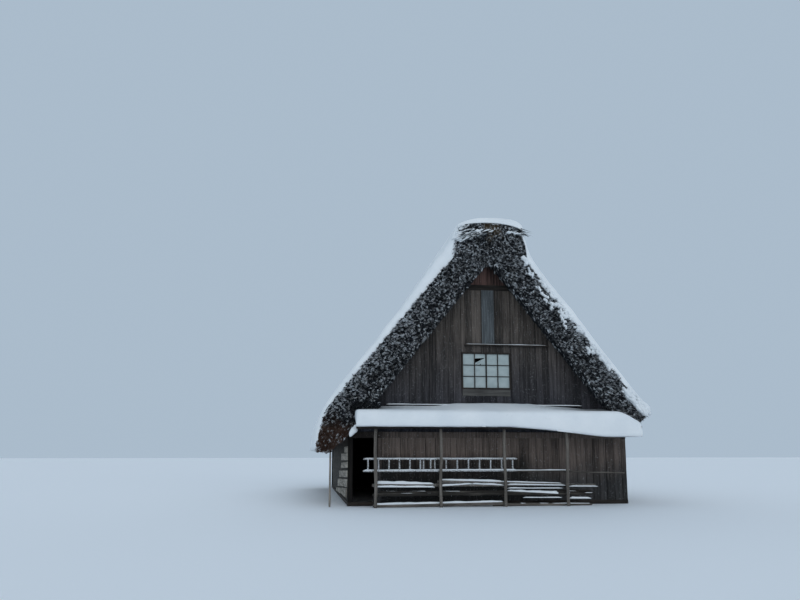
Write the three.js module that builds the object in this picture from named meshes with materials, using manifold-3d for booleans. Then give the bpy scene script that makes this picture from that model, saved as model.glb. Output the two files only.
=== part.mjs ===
// A gable-front thatched farmhouse under snow: boarded timber walls, a steep thick thatch,
// a snow-laden pent roof across the front, and poles and ladders stored behind its posts.
// Millimetres, +Z up. While a piece is drawn, X is measured from the ridge line (right is
// positive), Y from the front wall's outer plane (away from the viewer is positive) and Z
// from the ground. The last lines centre the whole house on its bounding box.

import * as THREE from 'three';
import { mergeVertices } from 'three/addons/utils/BufferGeometryUtils.js';
import Module from 'manifold-3d';

const wasm = await Module();
wasm.setup();

// Plan: the frame's half width and length, post and board thicknesses
const FRAME_HALF_WIDTH = 4140;
const FRAME_LENGTH = 11010;
const POST = 150;
const BOARD_WALL = 60;
const BOARD_INSET = 15;
const SEAT_GAP = 0.4;

// Heights of the frame
const SILL_TOP = 120;
const POST_TOP = 1900;
const GIRT_TOP = 2080;
const FLOOR_THICKNESS = 40;

// Roof: two planes of thatch under one pitch, measured as heights on the ridge line
const ROOF_RISE = 1.2527;
const OUTER_APEX = 8480;
const INNER_APEX = 7180;
const RIDGE_SEAT = 7300;
const VERGE_OVERHANG = 420;
const LEFT_BREAK = 4860;
const LEFT_EAVE_TOE = [5050, 1590];
const LEFT_EAVE_HEEL = [4730, 1505];
const RIGHT_EAVE_TIP = 4690;
const RIGHT_EAVE_WALL = 4060;
const RIGHT_EAVE_CUT = [
  [4200, 2240],
  [4460, 2470],
];

// Ridge cap: the right half of each layer's outline, from its seat to its crown
const RIDGE_LOWER_FOOT = 1100;
const RIDGE_LOWER_SIDE = [
  [1130, 7250],
  [1110, 7500],
  [1040, 7760],
  [930, 7960],
];
const RIDGE_UPPER_SIDE = [
  [930, 7960],
  [990, 8020],
  [970, 8120],
  [620, 8240],
];
const RIDGE_CROWN = 8290;

// Doorway in the front wall, beside the left corner post
const DOOR_WIDTH = 700;
const DOOR_POST = 120;

// Gable: window, ledge, collar beam and the board up its middle
const WINDOW_CENTRE = -75;
const WINDOW_CLEAR = { width: 1400, low: 3370, high: 4370 };
const WINDOW_FRAME = 45;
const LEDGE = { left: -730, right: 1830, top: 4650, thickness: 40, reach: 110 };
const CENTRE_BOARD = { left: -240, right: 110, thickness: 25 };
const TORN_PANE = [
  [-430, 4215],
  [-330, 4105],
  [-185, 4225],
];
const COLLAR_LOW = 6300;
const COLLAR_HIGH = 6460;

// Pent roof across the front
const PENT_LEFT = -3960;
const PENT_RIGHT = 4190;
const PENT_REACH = 1020;
const PENT_TOP_AT_WALL = 2600;
const PENT_TOP_AT_EDGE = 2230;
const PENT_DECK_DROP = 64;

// Posts of the pent roof stand one bay apart, with short arms behind them
const BAY = 1820;
const POST_LINE = -720;
const FIRST_POST_X = -3420;
const POST_COUNT = 4;
const POST_RADIUS = 52;
const BEAM_LOW = 2140;
const ARM_TOPS = [960, 550, 300];
const ARM_SIZE = 50;
const ARM_REACH = 340;

// Left eave: a log under the low end of the thatch, with one slim post near its front end
const EAVE_LOG_X = -4640;
const EAVE_LOG_RADIUS = 40;
const EAVE_POST_RADIUS = 36;
const EAVE_POST_TIP = 30;
const EAVE_POST_Y = -200;

// Ladders lying on edge on the top arms, and the poles stored on all three rows of arms
const LADDER_WIDTH = 325;
const LADDER_RAIL = 24;
const LADDER_RUNG = 14;
const LADDERS = {
  left: { from: -3750, to: -1450, y: -620, rungs: 8 },
  right: { from: -2190, to: 625, y: -545, rungs: 9 },
};
const RAIL_POLES = [{ from: -3760, to: 2260, y: -440, butt: 22, tip: 20 }];
const RAIL_END = { from: 2080, to: 3880, y: -440, butt: 20, tip: 18, startsBelow: 10, endsBelow: 53 };
const UPPER_POLES = [
  { from: -3500, to: 300, y: -600, butt: 44, tip: 38 },
  { from: -1700, to: 2300, y: -522, butt: 40, tip: 42 },
  { from: -3480, to: 1200, y: -446, butt: 42, tip: 38 },
  { from: 100, to: 2900, y: -600, butt: 40, tip: 36 },
];
const MIDDLE_POLES = [
  { from: -3480, to: 2860, y: -610, butt: 40, tip: 38 },
  { from: -3400, to: 2700, y: -544, butt: 38, tip: 39 },
  { from: -3440, to: 2500, y: -478, butt: 39, tip: 40 },
];
const NESTED_POLES = [
  { from: -3300, to: 2400, y: -577, butt: 38, tip: 37 },
  { from: -3200, to: 2800, y: -511, butt: 37, tip: 38 },
];
const NESTED_RISE = 56;
const GROUND_RADIUS = 50;
const GROUND_Y = POST_LINE + POST_RADIUS + GROUND_RADIUS + SEAT_GAP;
const GROUND_POLES = [
  { from: -3480, to: 300, y: GROUND_Y, butt: GROUND_RADIUS, tip: 44 },
  { from: -100, to: 2800, y: GROUND_Y + 84, butt: 46, tip: 40 },
];

// Snow: distance from the ridge line and the snow's height over the thatch there
const SNOW_OVERHANG = 20;
const SNOW_TOP_EDGE = 1135;
const LEFT_SNOW = [
  [1135, 640],
  [1550, 680],
  [1980, 660],
  [2340, 570],
  [3020, 510],
  [3480, 490],
  [4360, 450],
  [4790, 420],
];
const LEFT_SNOW_SKIRT = [
  [-4920, 2620],
  [-5000, 2300],
  [-5095, 1640],
];
const RIGHT_SNOW_LIP = [
  [4760, 2635],
  [4845, 2710],
  [4855, 2800],
  [4790, 2900],
];
const RIGHT_SNOW = [
  [4590, 300],
  [3410, 300],
  [2670, 380],
  [1900, 385],
  [1540, 410],
  [1220, 490],
  [1140, 400],
];

// Snow on the ridge cap: its outer outline on the left, its seat, then its right end
const RIDGE_SNOW_OUTER = [
  [0, 8450],
  [-450, 8405],
  [-850, 8265],
  [-1020, 8150],
  [-1080, 8010],
  [-1150, 7850],
  [-1165, 7715],
  [-1041, 7762],
  [-932, 7961],
];
const RIDGE_SNOW_SEAT = [
  [-991.5, 8021],
  [-971.5, 8121],
  [-620.5, 8241],
  [0, 8291],
  [620, 8241],
  [971, 8121],
];
const RIDGE_SNOW_RIGHT = [
  [993, 8021],
  [1030, 7935],
  [1075, 7950],
  [1060, 8200],
  [900, 8320],
  [520, 8415],
];

// Snow on the pent roof: its top and front outline, and how its front lip sags to the right
const PENT_SNOW_FRONT = -1080;
const PENT_SNOW_AT_WALL = 2915;
const PENT_SNOW_TOP = [
  [-300, 2840],
  [-700, 2735],
  [-960, 2650],
];
const PENT_SNOW_FACE = { shoulder: 2570, belly: 2400, lip: 2240, hem: 2185 };
const PENT_SNOW_SAG = { starts: 300, ends: 3000, depth: 225, ease: 1.3 };

// The same snow thins out at its right end: how far its top and face have come down there
const PENT_SNOW_END = {
  starts: 3500,
  ease: 1.5,
  atWall: 165,
  top: [215, 285, 315],
  shoulder: 250,
  belly: 90,
};

// Reach of the finished house to each side, which sets the shared origin
const LEFT_REACH = 5100;
const RIGHT_REACH = 4860;

const BACK = FRAME_LENGTH;
const VERGE_FRONT = -VERGE_OVERHANG;
const VERGE_BACK = BACK + VERGE_OVERHANG;

const outerRoof = (x) => OUTER_APEX - ROOF_RISE * Math.abs(x);
const innerRoof = (x) => INNER_APEX - ROOF_RISE * Math.abs(x);
const innerHalfWidth = (z) => (INNER_APEX - z) / ROOF_RISE;

const house = new THREE.Group();

const COLOURS = {
  oldTimber: 0x4a3b30,
  wallBoard: 0x57443a,
  redBoard: 0x6b4334,
  greyBoard: 0x6d7278,
  paleTimber: 0x7d756a,
  paper: 0xc9d3d0,
  thatch: 0x3e3830,
  ridgeThatch: 0x4d4234,
  snow: 0xeef2f5,
};

// Adds one named piece, with a material of its own, to the house
function place(name, geometry, colour, roughness = 0.9) {
  const material = new THREE.MeshStandardMaterial({ color: colour, roughness, metalness: 0 });
  const mesh = new THREE.Mesh(geometry, material);
  mesh.name = name;
  house.add(mesh);
  return mesh;
}

function block(x0, x1, y0, y1, z0, z1) {
  const box = new THREE.BoxGeometry(x1 - x0, y1 - y0, z1 - z0);
  return box.translate((x0 + x1) / 2, (y0 + y1) / 2, (z0 + z1) / 2);
}

function outline(points) {
  return new THREE.Shape(points.map(([u, v]) => new THREE.Vector2(u, v)));
}

// An outline of [x, z] points, carried along the house's length
function alongDepth(points, y0, y1, holes = []) {
  const shape = outline(points);
  shape.holes = holes.map(outline);
  const solid = new THREE.ExtrudeGeometry(shape, { depth: y1 - y0, bevelEnabled: false });
  return solid.applyMatrix4(new THREE.Matrix4().set(1, 0, 0, 0, 0, 0, -1, y1, 0, 1, 0, 0, 0, 0, 0, 1));
}

// An outline of [y, z] points, carried across the house's width
function acrossWidth(points, x0, x1) {
  const solid = new THREE.ExtrudeGeometry(outline(points), { depth: x1 - x0, bevelEnabled: false });
  return solid.applyMatrix4(new THREE.Matrix4().set(0, 0, 1, x0, 1, 0, 0, 0, 0, 1, 0, 0, 0, 0, 0, 1));
}

// A closed solid through outlines of [y, z] points, all with as many points, each at its own X
function lofted(stations, outlineAt) {
  const outlines = stations.map(outlineAt);
  const count = outlines[0].length;
  const corners = outlines.flatMap((points, s) => points.flatMap(([y, z]) => [stations[s], y, z]));
  const faces = [];
  for (let s = 0; s + 1 < stations.length; s += 1) {
    for (let i = 0; i < count; i += 1) {
      const near = s * count + i;
      const next = s * count + ((i + 1) % count);
      faces.push(near, next, next + count, near, next + count, near + count);
    }
  }
  const capAt = (s, flip) => {
    const flat = outlines[s].map(([y, z]) => new THREE.Vector2(y, z));
    for (const [a, b, c] of THREE.ShapeUtils.triangulateShape(flat, [])) {
      const corner = [a, b, c].map((i) => i + s * count);
      faces.push(...(flip ? corner.reverse() : corner));
    }
  };
  capAt(0, true);
  capAt(stations.length - 1, false);
  const geometry = new THREE.BufferGeometry();
  geometry.setAttribute('position', new THREE.Float32BufferAttribute(corners, 3));
  geometry.setIndex(faces);
  geometry.computeVertexNormals();
  return geometry;
}

// A round pole between two points, tapering from one radius to the other
function pole(start, end, startRadius, endRadius = startRadius, sides = 10, rows = 1) {
  const from = new THREE.Vector3(...start);
  const to = new THREE.Vector3(...end);
  const axis = to.clone().sub(from);
  const body = new THREE.CylinderGeometry(endRadius, startRadius, axis.length(), sides, rows);
  const up = new THREE.Vector3(0, 1, 0);
  const turn = new THREE.Quaternion().setFromUnitVectors(up, axis.clone().normalize());
  const middle = from.add(to).multiplyScalar(0.5);
  return body.applyQuaternion(turn).translate(middle.x, middle.y, middle.z);
}

function toSolid(geometry) {
  const bare = geometry.clone();
  bare.deleteAttribute('normal');
  bare.deleteAttribute('uv');
  const merged = mergeVertices(bare, 1e-3);
  const vertProperties = new Float32Array(merged.attributes.position.array);
  const triVerts = new Uint32Array(merged.index.array);
  return new wasm.Manifold(new wasm.Mesh({ numProp: 3, vertProperties, triVerts }));
}

function toGeometry(solid) {
  const mesh = solid.getMesh();
  const geometry = new THREE.BufferGeometry();
  geometry.setAttribute('position', new THREE.BufferAttribute(new Float32Array(mesh.vertProperties), 3));
  geometry.setIndex(new THREE.BufferAttribute(new Uint32Array(mesh.triVerts), 1));
  geometry.computeVertexNormals();
  return geometry;
}

function joined(geometries) {
  const solids = geometries.map(toSolid);
  return toGeometry(solids.reduce((whole, next) => whole.add(next)));
}

function cut(geometry, cutters) {
  return toGeometry(cutters.map(toSolid).reduce((rest, cutter) => rest.subtract(cutter), toSolid(geometry)));
}

// Mirrors an outline of [x, z] points to the other side of the ridge line
const mirrored = (points) => points.map(([x, z]) => [-x, z]).reverse();

// Ground sills, corner posts, girts and wall plates
function buildFrame() {
  const w = FRAME_HALF_WIDTH;
  place('sill_front', block(-w, w, 0, POST, 0, SILL_TOP), COLOURS.oldTimber);
  place('sill_back', block(-w, w, BACK - POST, BACK, 0, SILL_TOP), COLOURS.oldTimber);
  place('sill_left', block(-w, -w + POST, POST, BACK - POST, 0, SILL_TOP), COLOURS.oldTimber);
  place('sill_right', block(w - POST, w, POST, BACK - POST, 0, SILL_TOP), COLOURS.oldTimber);
  for (const [end, y0] of [['front', 0], ['back', BACK - POST]]) {
    const y1 = y0 + POST;
    const leftPost = block(-w, -w + POST, y0, y1, SILL_TOP, POST_TOP);
    const rightPost = block(w - POST, w, y0, y1, SILL_TOP, POST_TOP);
    const girt = block(-w + POST, w - POST, y0, y1, POST_TOP, GIRT_TOP);
    place(`corner_post_${end}_left`, leftPost, COLOURS.oldTimber);
    place(`corner_post_${end}_right`, rightPost, COLOURS.oldTimber);
    place(`girt_${end}`, girt, COLOURS.oldTimber);
  }
  const plate = [
    [w - POST, POST_TOP],
    [w, POST_TOP],
    [w, innerRoof(w) - SEAT_GAP],
    [w - POST, innerRoof(w - POST) - SEAT_GAP],
  ];
  place('wall_plate_right', alongDepth(plate, 0, BACK), COLOURS.oldTimber);
  place('wall_plate_left', alongDepth(mirrored(plate), 0, BACK), COLOURS.oldTimber);
}

// Board walls between the posts, with the doorway left open beside the left corner
function buildWalls() {
  const w = FRAME_HALF_WIDTH;
  const inner = w - POST;
  const doorRight = -inner + DOOR_WIDTH;
  const wallLeft = doorRight + DOOR_POST;
  const frontFace = BOARD_INSET;
  const frontInside = frontFace + BOARD_WALL;
  const backFace = BACK - BOARD_INSET;
  const backInside = backFace - BOARD_WALL;
  const floorTop = GIRT_TOP + FLOOR_THICKNESS;
  place('door_post', block(doorRight, wallLeft, 0, POST, SILL_TOP, POST_TOP), COLOURS.oldTimber);
  place('front_wall', block(wallLeft, inner, frontFace, frontInside, SILL_TOP, POST_TOP), COLOURS.wallBoard);
  place('back_wall', block(-inner, inner, backInside, backFace, SILL_TOP, POST_TOP), COLOURS.wallBoard);
  const outerFace = w - BOARD_INSET;
  place(
    'left_wall',
    block(-outerFace, -outerFace + BOARD_WALL, POST, BACK - POST, SILL_TOP, POST_TOP),
    COLOURS.paleTimber,
  );
  place(
    'right_wall',
    block(outerFace - BOARD_WALL, outerFace, POST, BACK - POST, SILL_TOP, POST_TOP),
    COLOURS.wallBoard,
  );
  place('loft_floor', block(-inner, inner, frontInside, backInside, GIRT_TOP, floorTop), COLOURS.oldTimber);
}

// The boarded part of a gable below its collar beam, with the window hole
function gableOutline() {
  const inner = FRAME_HALF_WIDTH - POST;
  const halfTop = innerHalfWidth(COLLAR_LOW + SEAT_GAP);
  const right = [
    [inner, GIRT_TOP],
    [inner, innerRoof(inner) - SEAT_GAP],
    [halfTop, COLLAR_LOW],
  ];
  return [...right, ...mirrored(right)];
}

function windowHole() {
  const half = WINDOW_CLEAR.width / 2 + WINDOW_FRAME;
  return [
    [WINDOW_CENTRE - half, WINDOW_CLEAR.low - WINDOW_FRAME],
    [WINDOW_CENTRE + half, WINDOW_CLEAR.low - WINDOW_FRAME],
    [WINDOW_CENTRE + half, WINDOW_CLEAR.high + WINDOW_FRAME],
    [WINDOW_CENTRE - half, WINDOW_CLEAR.high + WINDOW_FRAME],
  ];
}

// A window: a timber frame round one thin sheet of paper; the sheet may have a torn hole
function windowPiece(frameFront, frameBack, paperFront, paperBack, tear) {
  const half = WINDOW_CLEAR.width / 2;
  const clear = [
    [WINDOW_CENTRE - half, WINDOW_CLEAR.low],
    [WINDOW_CENTRE + half, WINDOW_CLEAR.low],
    [WINDOW_CENTRE + half, WINDOW_CLEAR.high],
    [WINDOW_CENTRE - half, WINDOW_CLEAR.high],
  ];
  const grip = 10;
  const sheet = clear.map(([x, z], i) => {
    const sideways = i === 0 || i === 3 ? -grip : grip;
    const upwards = i < 2 ? -grip : grip;
    return [x + sideways, z + upwards];
  });
  const frame = alongDepth(windowHole(), frameFront, frameBack, [clear]);
  const paper = alongDepth(sheet, paperFront, paperBack, tear ? [tear] : []);
  return joined([frame, paper]);
}

// Both gables: boards, window, collar beam and peak; the front one has a ledge and a board
function buildGables() {
  const peak = [
    [innerHalfWidth(COLLAR_HIGH + SEAT_GAP), COLLAR_HIGH],
    [0, INNER_APEX - 2 * SEAT_GAP],
    [-innerHalfWidth(COLLAR_HIGH + SEAT_GAP), COLLAR_HIGH],
  ];
  const collar = [
    [innerHalfWidth(COLLAR_LOW + SEAT_GAP), COLLAR_LOW],
    [innerHalfWidth(COLLAR_HIGH + SEAT_GAP), COLLAR_HIGH],
    [-innerHalfWidth(COLLAR_HIGH + SEAT_GAP), COLLAR_HIGH],
    [-innerHalfWidth(COLLAR_LOW + SEAT_GAP), COLLAR_LOW],
  ];
  const face = BOARD_INSET;
  const boards = face + BOARD_WALL;
  const collarDepth = POST;
  const windowDepth = POST / 2;
  const paperThickness = 8;
  const paperSetback = 40;
  const holes = [windowHole()];
  place('gable_wall_front', alongDepth(gableOutline(), face, boards, holes), COLOURS.wallBoard);
  place('gable_wall_back', alongDepth(gableOutline(), BACK - boards, BACK - face, holes), COLOURS.wallBoard);
  place('gable_collar_front', alongDepth(collar, 0, collarDepth), COLOURS.oldTimber);
  place('gable_collar_back', alongDepth(collar, BACK - collarDepth, BACK), COLOURS.oldTimber);
  place('gable_peak_front', alongDepth(peak, face, boards), COLOURS.redBoard);
  place('gable_peak_back', alongDepth(peak, BACK - boards, BACK - face), COLOURS.redBoard);
  place(
    'window_front',
    windowPiece(0, windowDepth, paperSetback, paperSetback + paperThickness, TORN_PANE),
    COLOURS.paper,
  );
  place(
    'window_back',
    windowPiece(BACK - windowDepth, BACK, BACK - paperSetback - paperThickness, BACK - paperSetback),
    COLOURS.paper,
  );
  place(
    'gable_ledge',
    block(LEDGE.left, LEDGE.right, face - LEDGE.reach, face, LEDGE.top - LEDGE.thickness, LEDGE.top),
    COLOURS.oldTimber,
  );
  const boardFront = face - CENTRE_BOARD.thickness;
  place(
    'gable_centre_board',
    block(CENTRE_BOARD.left, CENTRE_BOARD.right, boardFront, face, LEDGE.top, COLLAR_LOW),
    COLOURS.greyBoard,
  );
}

// Outline of the left roof plane, from the ridge down to its low, thick eave
function leftThatch() {
  const seatHalf = (OUTER_APEX - RIDGE_SEAT) / ROOF_RISE;
  return [
    [0, INNER_APEX],
    [0, RIDGE_SEAT],
    [-seatHalf, RIDGE_SEAT],
    [-LEFT_BREAK, outerRoof(LEFT_BREAK)],
    [-LEFT_EAVE_TOE[0], LEFT_EAVE_TOE[1]],
    [-LEFT_EAVE_HEEL[0], LEFT_EAVE_HEEL[1]],
    [-FRAME_HALF_WIDTH, innerRoof(FRAME_HALF_WIDTH)],
  ];
}

// Outline of the right roof plane, whose eave is cut back just past the wall
function rightThatch() {
  const seatHalf = (OUTER_APEX - RIDGE_SEAT) / ROOF_RISE;
  return [
    [0, INNER_APEX],
    [RIGHT_EAVE_WALL, innerRoof(RIGHT_EAVE_WALL)],
    ...RIGHT_EAVE_CUT,
    [RIGHT_EAVE_TIP, outerRoof(RIGHT_EAVE_TIP)],
    [seatHalf, RIDGE_SEAT],
    [0, RIDGE_SEAT],
  ];
}

function buildThatch() {
  place('thatch_left', alongDepth(leftThatch(), VERGE_FRONT, VERGE_BACK), COLOURS.thatch, 1);
  place('thatch_right', alongDepth(rightThatch(), VERGE_FRONT, VERGE_BACK), COLOURS.thatch, 1);
  const seatHalf = (OUTER_APEX - RIDGE_SEAT) / ROOF_RISE;
  const lowerSide = [
    [seatHalf, RIDGE_SEAT],
    [RIDGE_LOWER_FOOT, outerRoof(RIDGE_LOWER_FOOT) + 2 * SEAT_GAP],
    ...RIDGE_LOWER_SIDE,
  ];
  place(
    'ridge_thatch_lower',
    alongDepth([...lowerSide, ...mirrored(lowerSide)], VERGE_FRONT, VERGE_BACK),
    COLOURS.ridgeThatch,
    1,
  );
  const upper = [...RIDGE_UPPER_SIDE, [0, RIDGE_CROWN], ...mirrored(RIDGE_UPPER_SIDE)];
  const reach = 10;
  place(
    'ridge_thatch_upper',
    alongDepth(upper, VERGE_FRONT - reach, VERGE_BACK + reach),
    COLOURS.ridgeThatch,
    1,
  );
}

const pentTop = (y) => PENT_TOP_AT_WALL + ((PENT_TOP_AT_WALL - PENT_TOP_AT_EDGE) * y) / PENT_REACH;

// The room that the thatch takes up over the pent roof, grown by the seat gap
function thatchRoom() {
  const grow = 2 * SEAT_GAP;
  const [low, high, far] = [1900, 3600, 5200];
  const side = [
    [innerHalfWidth(high), high - grow],
    [innerHalfWidth(low), low - grow],
    [far, low - grow],
    [far, high - grow],
  ];
  return [
    alongDepth(side.slice().reverse(), VERGE_FRONT - SEAT_GAP, POST),
    alongDepth(mirrored(side).reverse(), VERGE_FRONT - SEAT_GAP, POST),
  ];
}

// The pent roof: a sloped deck on a beam, notched round the thatch at both ends
function buildPentRoof() {
  const deck = [
    [BOARD_INSET, pentTop(BOARD_INSET)],
    [-PENT_REACH, pentTop(-PENT_REACH)],
    [-PENT_REACH, pentTop(-PENT_REACH) - PENT_DECK_DROP],
    [BOARD_INSET, pentTop(BOARD_INSET) - PENT_DECK_DROP],
  ];
  place('pent_roof_deck', cut(acrossWidth(deck, PENT_LEFT, PENT_RIGHT), thatchRoom()), COLOURS.oldTimber);
  const halfBeam = 50;
  const underside = (y) => pentTop(y) - PENT_DECK_DROP - SEAT_GAP;
  const beam = [
    [POST_LINE - halfBeam, BEAM_LOW],
    [POST_LINE + halfBeam, BEAM_LOW],
    [POST_LINE + halfBeam, underside(POST_LINE + halfBeam)],
    [POST_LINE - halfBeam, underside(POST_LINE - halfBeam)],
  ];
  place('pent_roof_beam', acrossWidth(beam, PENT_LEFT, PENT_RIGHT), COLOURS.oldTimber);
}

// A slim round post whose middle bows sideways: the bow is a full sine wave over its height
function bowedPost(x, y, height, radius, bow) {
  const [sides, rows, taper] = [12, 10, 0.94];
  const trunk = pole([x, y, 0], [x, y, height], radius, radius * taper, sides, rows);
  const spots = trunk.attributes.position;
  for (let i = 0; i < spots.count; i += 1) {
    const share = spots.getZ(i) / height;
    spots.setX(i, spots.getX(i) + bow * Math.sin(2 * Math.PI * share));
  }
  return trunk;
}

// The pent roof's posts, with short arms behind them that carry the stored poles
function buildRackPosts() {
  const bows = [12, -14, 10, -12];
  for (let i = 0; i < POST_COUNT; i += 1) {
    const x = FIRST_POST_X + i * BAY;
    const trunk = bowedPost(x, POST_LINE, BEAM_LOW - SEAT_GAP, POST_RADIUS, bows[i]);
    const [left, right] = [x - ARM_SIZE / 2, x + ARM_SIZE / 2];
    const armEnd = POST_LINE + ARM_REACH;
    const arms = ARM_TOPS.map((top) => block(left, right, POST_LINE, armEnd, top - ARM_SIZE, top));
    place(`rack_post_${i + 1}`, joined([trunk, ...arms]), COLOURS.paleTimber);
  }
}

// A ladder lying on its edge: two rails one above the other, with upright rungs
function ladder({ from, to, y, rungs }) {
  const low = ARM_TOPS[0] + LADDER_RAIL + SEAT_GAP;
  const high = low + LADDER_WIDTH;
  const [railSides, rungSides, taper, margin] = [8, 6, 0.85, 130];
  const parts = [
    pole([from, y, low], [to, y, low], LADDER_RAIL, LADDER_RAIL, railSides),
    pole([from, y, high], [to, y, high], LADDER_RAIL, LADDER_RAIL * taper, railSides),
  ];
  const step = (to - from - 2 * margin) / (rungs - 1);
  for (let i = 0; i < rungs; i += 1) {
    const x = from + margin + i * step;
    parts.push(pole([x, y, low], [x, y, high], LADDER_RUNG, LADDER_RUNG, rungSides));
  }
  return joined(parts);
}

// Poles that lie on a level support, each pressed a little into the next as one body
function restingPoles(poles, support) {
  return poles.map(({ from, to, y, butt, tip }) =>
    pole([from, y, support + butt], [to, y, support + tip], butt, tip, 8),
  );
}

function buildStoredPoles() {
  place('ladder_left', ladder(LADDERS.left), COLOURS.paleTimber);
  place('ladder_right', ladder(LADDERS.right), COLOURS.paleTimber);
  const [railRest, upperRest, middleRest] = ARM_TOPS.map((top) => top + SEAT_GAP);
  const { from, to, y, butt, tip, startsBelow, endsBelow } = RAIL_END;
  const railEnd = pole([from, y, railRest - startsBelow], [to, y, railRest - endsBelow], butt, tip, 8);
  const middle = restingPoles(MIDDLE_POLES, middleRest);
  const nested = restingPoles(NESTED_POLES, middleRest + NESTED_RISE);
  place('rail_pole', joined([...restingPoles(RAIL_POLES, railRest), railEnd]), COLOURS.paleTimber);
  place('poles_upper', joined(restingPoles(UPPER_POLES, upperRest)), COLOURS.paleTimber);
  place('poles_middle', joined([...middle, ...nested]), COLOURS.paleTimber);
  place('poles_ground', joined(restingPoles(GROUND_POLES, 0)), COLOURS.paleTimber);
}

// The log under the left eave and the slim post that holds its front end
function buildLeftEave() {
  const [toeX, toeZ] = LEFT_EAVE_HEEL;
  const heelZ = innerRoof(FRAME_HALF_WIDTH);
  const slope = (heelZ - toeZ) / (toeX - FRAME_HALF_WIDTH);
  const underside = toeZ + (toeX + EAVE_LOG_X) * slope;
  const clear = (EAVE_LOG_RADIUS + SEAT_GAP) * Math.hypot(1, slope);
  const logZ = underside - clear;
  const logInset = 60;
  const logSides = 12;
  const logFront = [EAVE_LOG_X, VERGE_FRONT + logInset, logZ];
  const logBack = [EAVE_LOG_X, VERGE_BACK - logInset, logZ];
  const log = pole(logFront, logBack, EAVE_LOG_RADIUS, EAVE_LOG_RADIUS, logSides);
  place('left_eave_log', log, COLOURS.oldTimber);
  const postTop = logZ - EAVE_LOG_RADIUS - SEAT_GAP;
  const foot = [EAVE_LOG_X, EAVE_POST_Y, 0];
  const head = [EAVE_LOG_X, EAVE_POST_Y, postTop];
  place('left_eave_post', pole(foot, head, EAVE_POST_RADIUS, EAVE_POST_TIP), COLOURS.paleTimber);
}

// How far a place across the width has come from one end of a stretch to the other, eased
function easedShare(x, starts, ends, ease) {
  return Math.min(Math.max((x - starts) / (ends - starts), 0), 1) ** ease;
}

// Outline of the pent roof's snow at one place across the width
function pentSnowOutline(x) {
  const lift = SEAT_GAP * 2;
  const { starts, ends, depth, ease } = PENT_SNOW_SAG;
  const sag = depth * easedShare(x, starts, ends, ease);
  const end = PENT_SNOW_END;
  const thinned = easedShare(x, end.starts, PENT_RIGHT, end.ease);
  const { shoulder, belly, lip, hem } = PENT_SNOW_FACE;
  const wallSide = BOARD_INSET - SEAT_GAP;
  const edge = -PENT_REACH - lift;
  return [
    [wallSide, pentTop(BOARD_INSET) + lift],
    [wallSide, PENT_SNOW_AT_WALL - end.atWall * thinned],
    ...PENT_SNOW_TOP.map(([y, z], i) => [y, z - end.top[i] * thinned]),
    [edge - 30, shoulder - sag / 6 - end.shoulder * thinned],
    [PENT_SNOW_FRONT, belly - sag / 2 - end.belly * thinned],
    [PENT_SNOW_FRONT + 10, lip - sag],
    [edge, hem - sag],
    [edge, pentTop(-PENT_REACH) + lift],
  ];
}

// Snow lying on the roof: each lies on its own slope and could be lifted off
function buildSnow() {
  const lift = SEAT_GAP * 2;
  const onRoof = ([x, depth]) => [x, outerRoof(x) + depth];
  const y0 = VERGE_FRONT - SNOW_OVERHANG;
  const y1 = VERGE_BACK + SNOW_OVERHANG;
  const left = [
    onRoof([-SNOW_TOP_EDGE, lift]),
    ...LEFT_SNOW.map(([x, depth]) => onRoof([-x, depth])),
    ...LEFT_SNOW_SKIRT,
    [-LEFT_EAVE_TOE[0] - lift, LEFT_EAVE_TOE[1]],
    [-LEFT_BREAK - lift, outerRoof(LEFT_BREAK)],
  ];
  const right = [
    onRoof([SNOW_TOP_EDGE, lift]),
    onRoof([RIGHT_EAVE_TIP, lift]),
    ...RIGHT_SNOW_LIP,
    ...RIGHT_SNOW.map(onRoof),
  ];
  const ridge = [...RIDGE_SNOW_OUTER, ...RIDGE_SNOW_SEAT, ...RIDGE_SNOW_RIGHT];
  place('snow_left_slope', alongDepth(left, y0, y1), COLOURS.snow, 0.6);
  place('snow_right_slope', alongDepth(right, y0, y1), COLOURS.snow, 0.6);
  place('snow_ridge', alongDepth(ridge, y0, y1), COLOURS.snow, 0.6);
  const stations = [300, 900, 1500, 2100, 2600, 3000, 3500, 3800, 4000];
  const pent = lofted([PENT_LEFT - SNOW_OVERHANG, ...stations, PENT_RIGHT], pentSnowOutline);
  place('snow_pent_roof', cut(pent, thatchRoom()), COLOURS.snow, 0.6);
}

buildFrame();
buildWalls();
buildGables();
buildThatch();
buildPentRoof();
buildRackPosts();
buildStoredPoles();
buildLeftEave();
buildSnow();

const reachFront = PENT_SNOW_FRONT;
const reachBack = VERGE_BACK + SNOW_OVERHANG;
house.position.set((LEFT_REACH - RIGHT_REACH) / 2, -(reachFront + reachBack) / 2, 0);
house.updateMatrixWorld(true);

export default house;
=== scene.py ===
"""Looks of a gable-front thatched farmhouse under snow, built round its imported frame.

Metres, +X to the right of the gable front, +Y along the ridge away from the viewer, +Z up.
A form is a tuple of points (n, 3), a list of face arrays (m, corners) and two numbers per
point, tint and frost, which the materials read as attributes.
"""
import math

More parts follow.
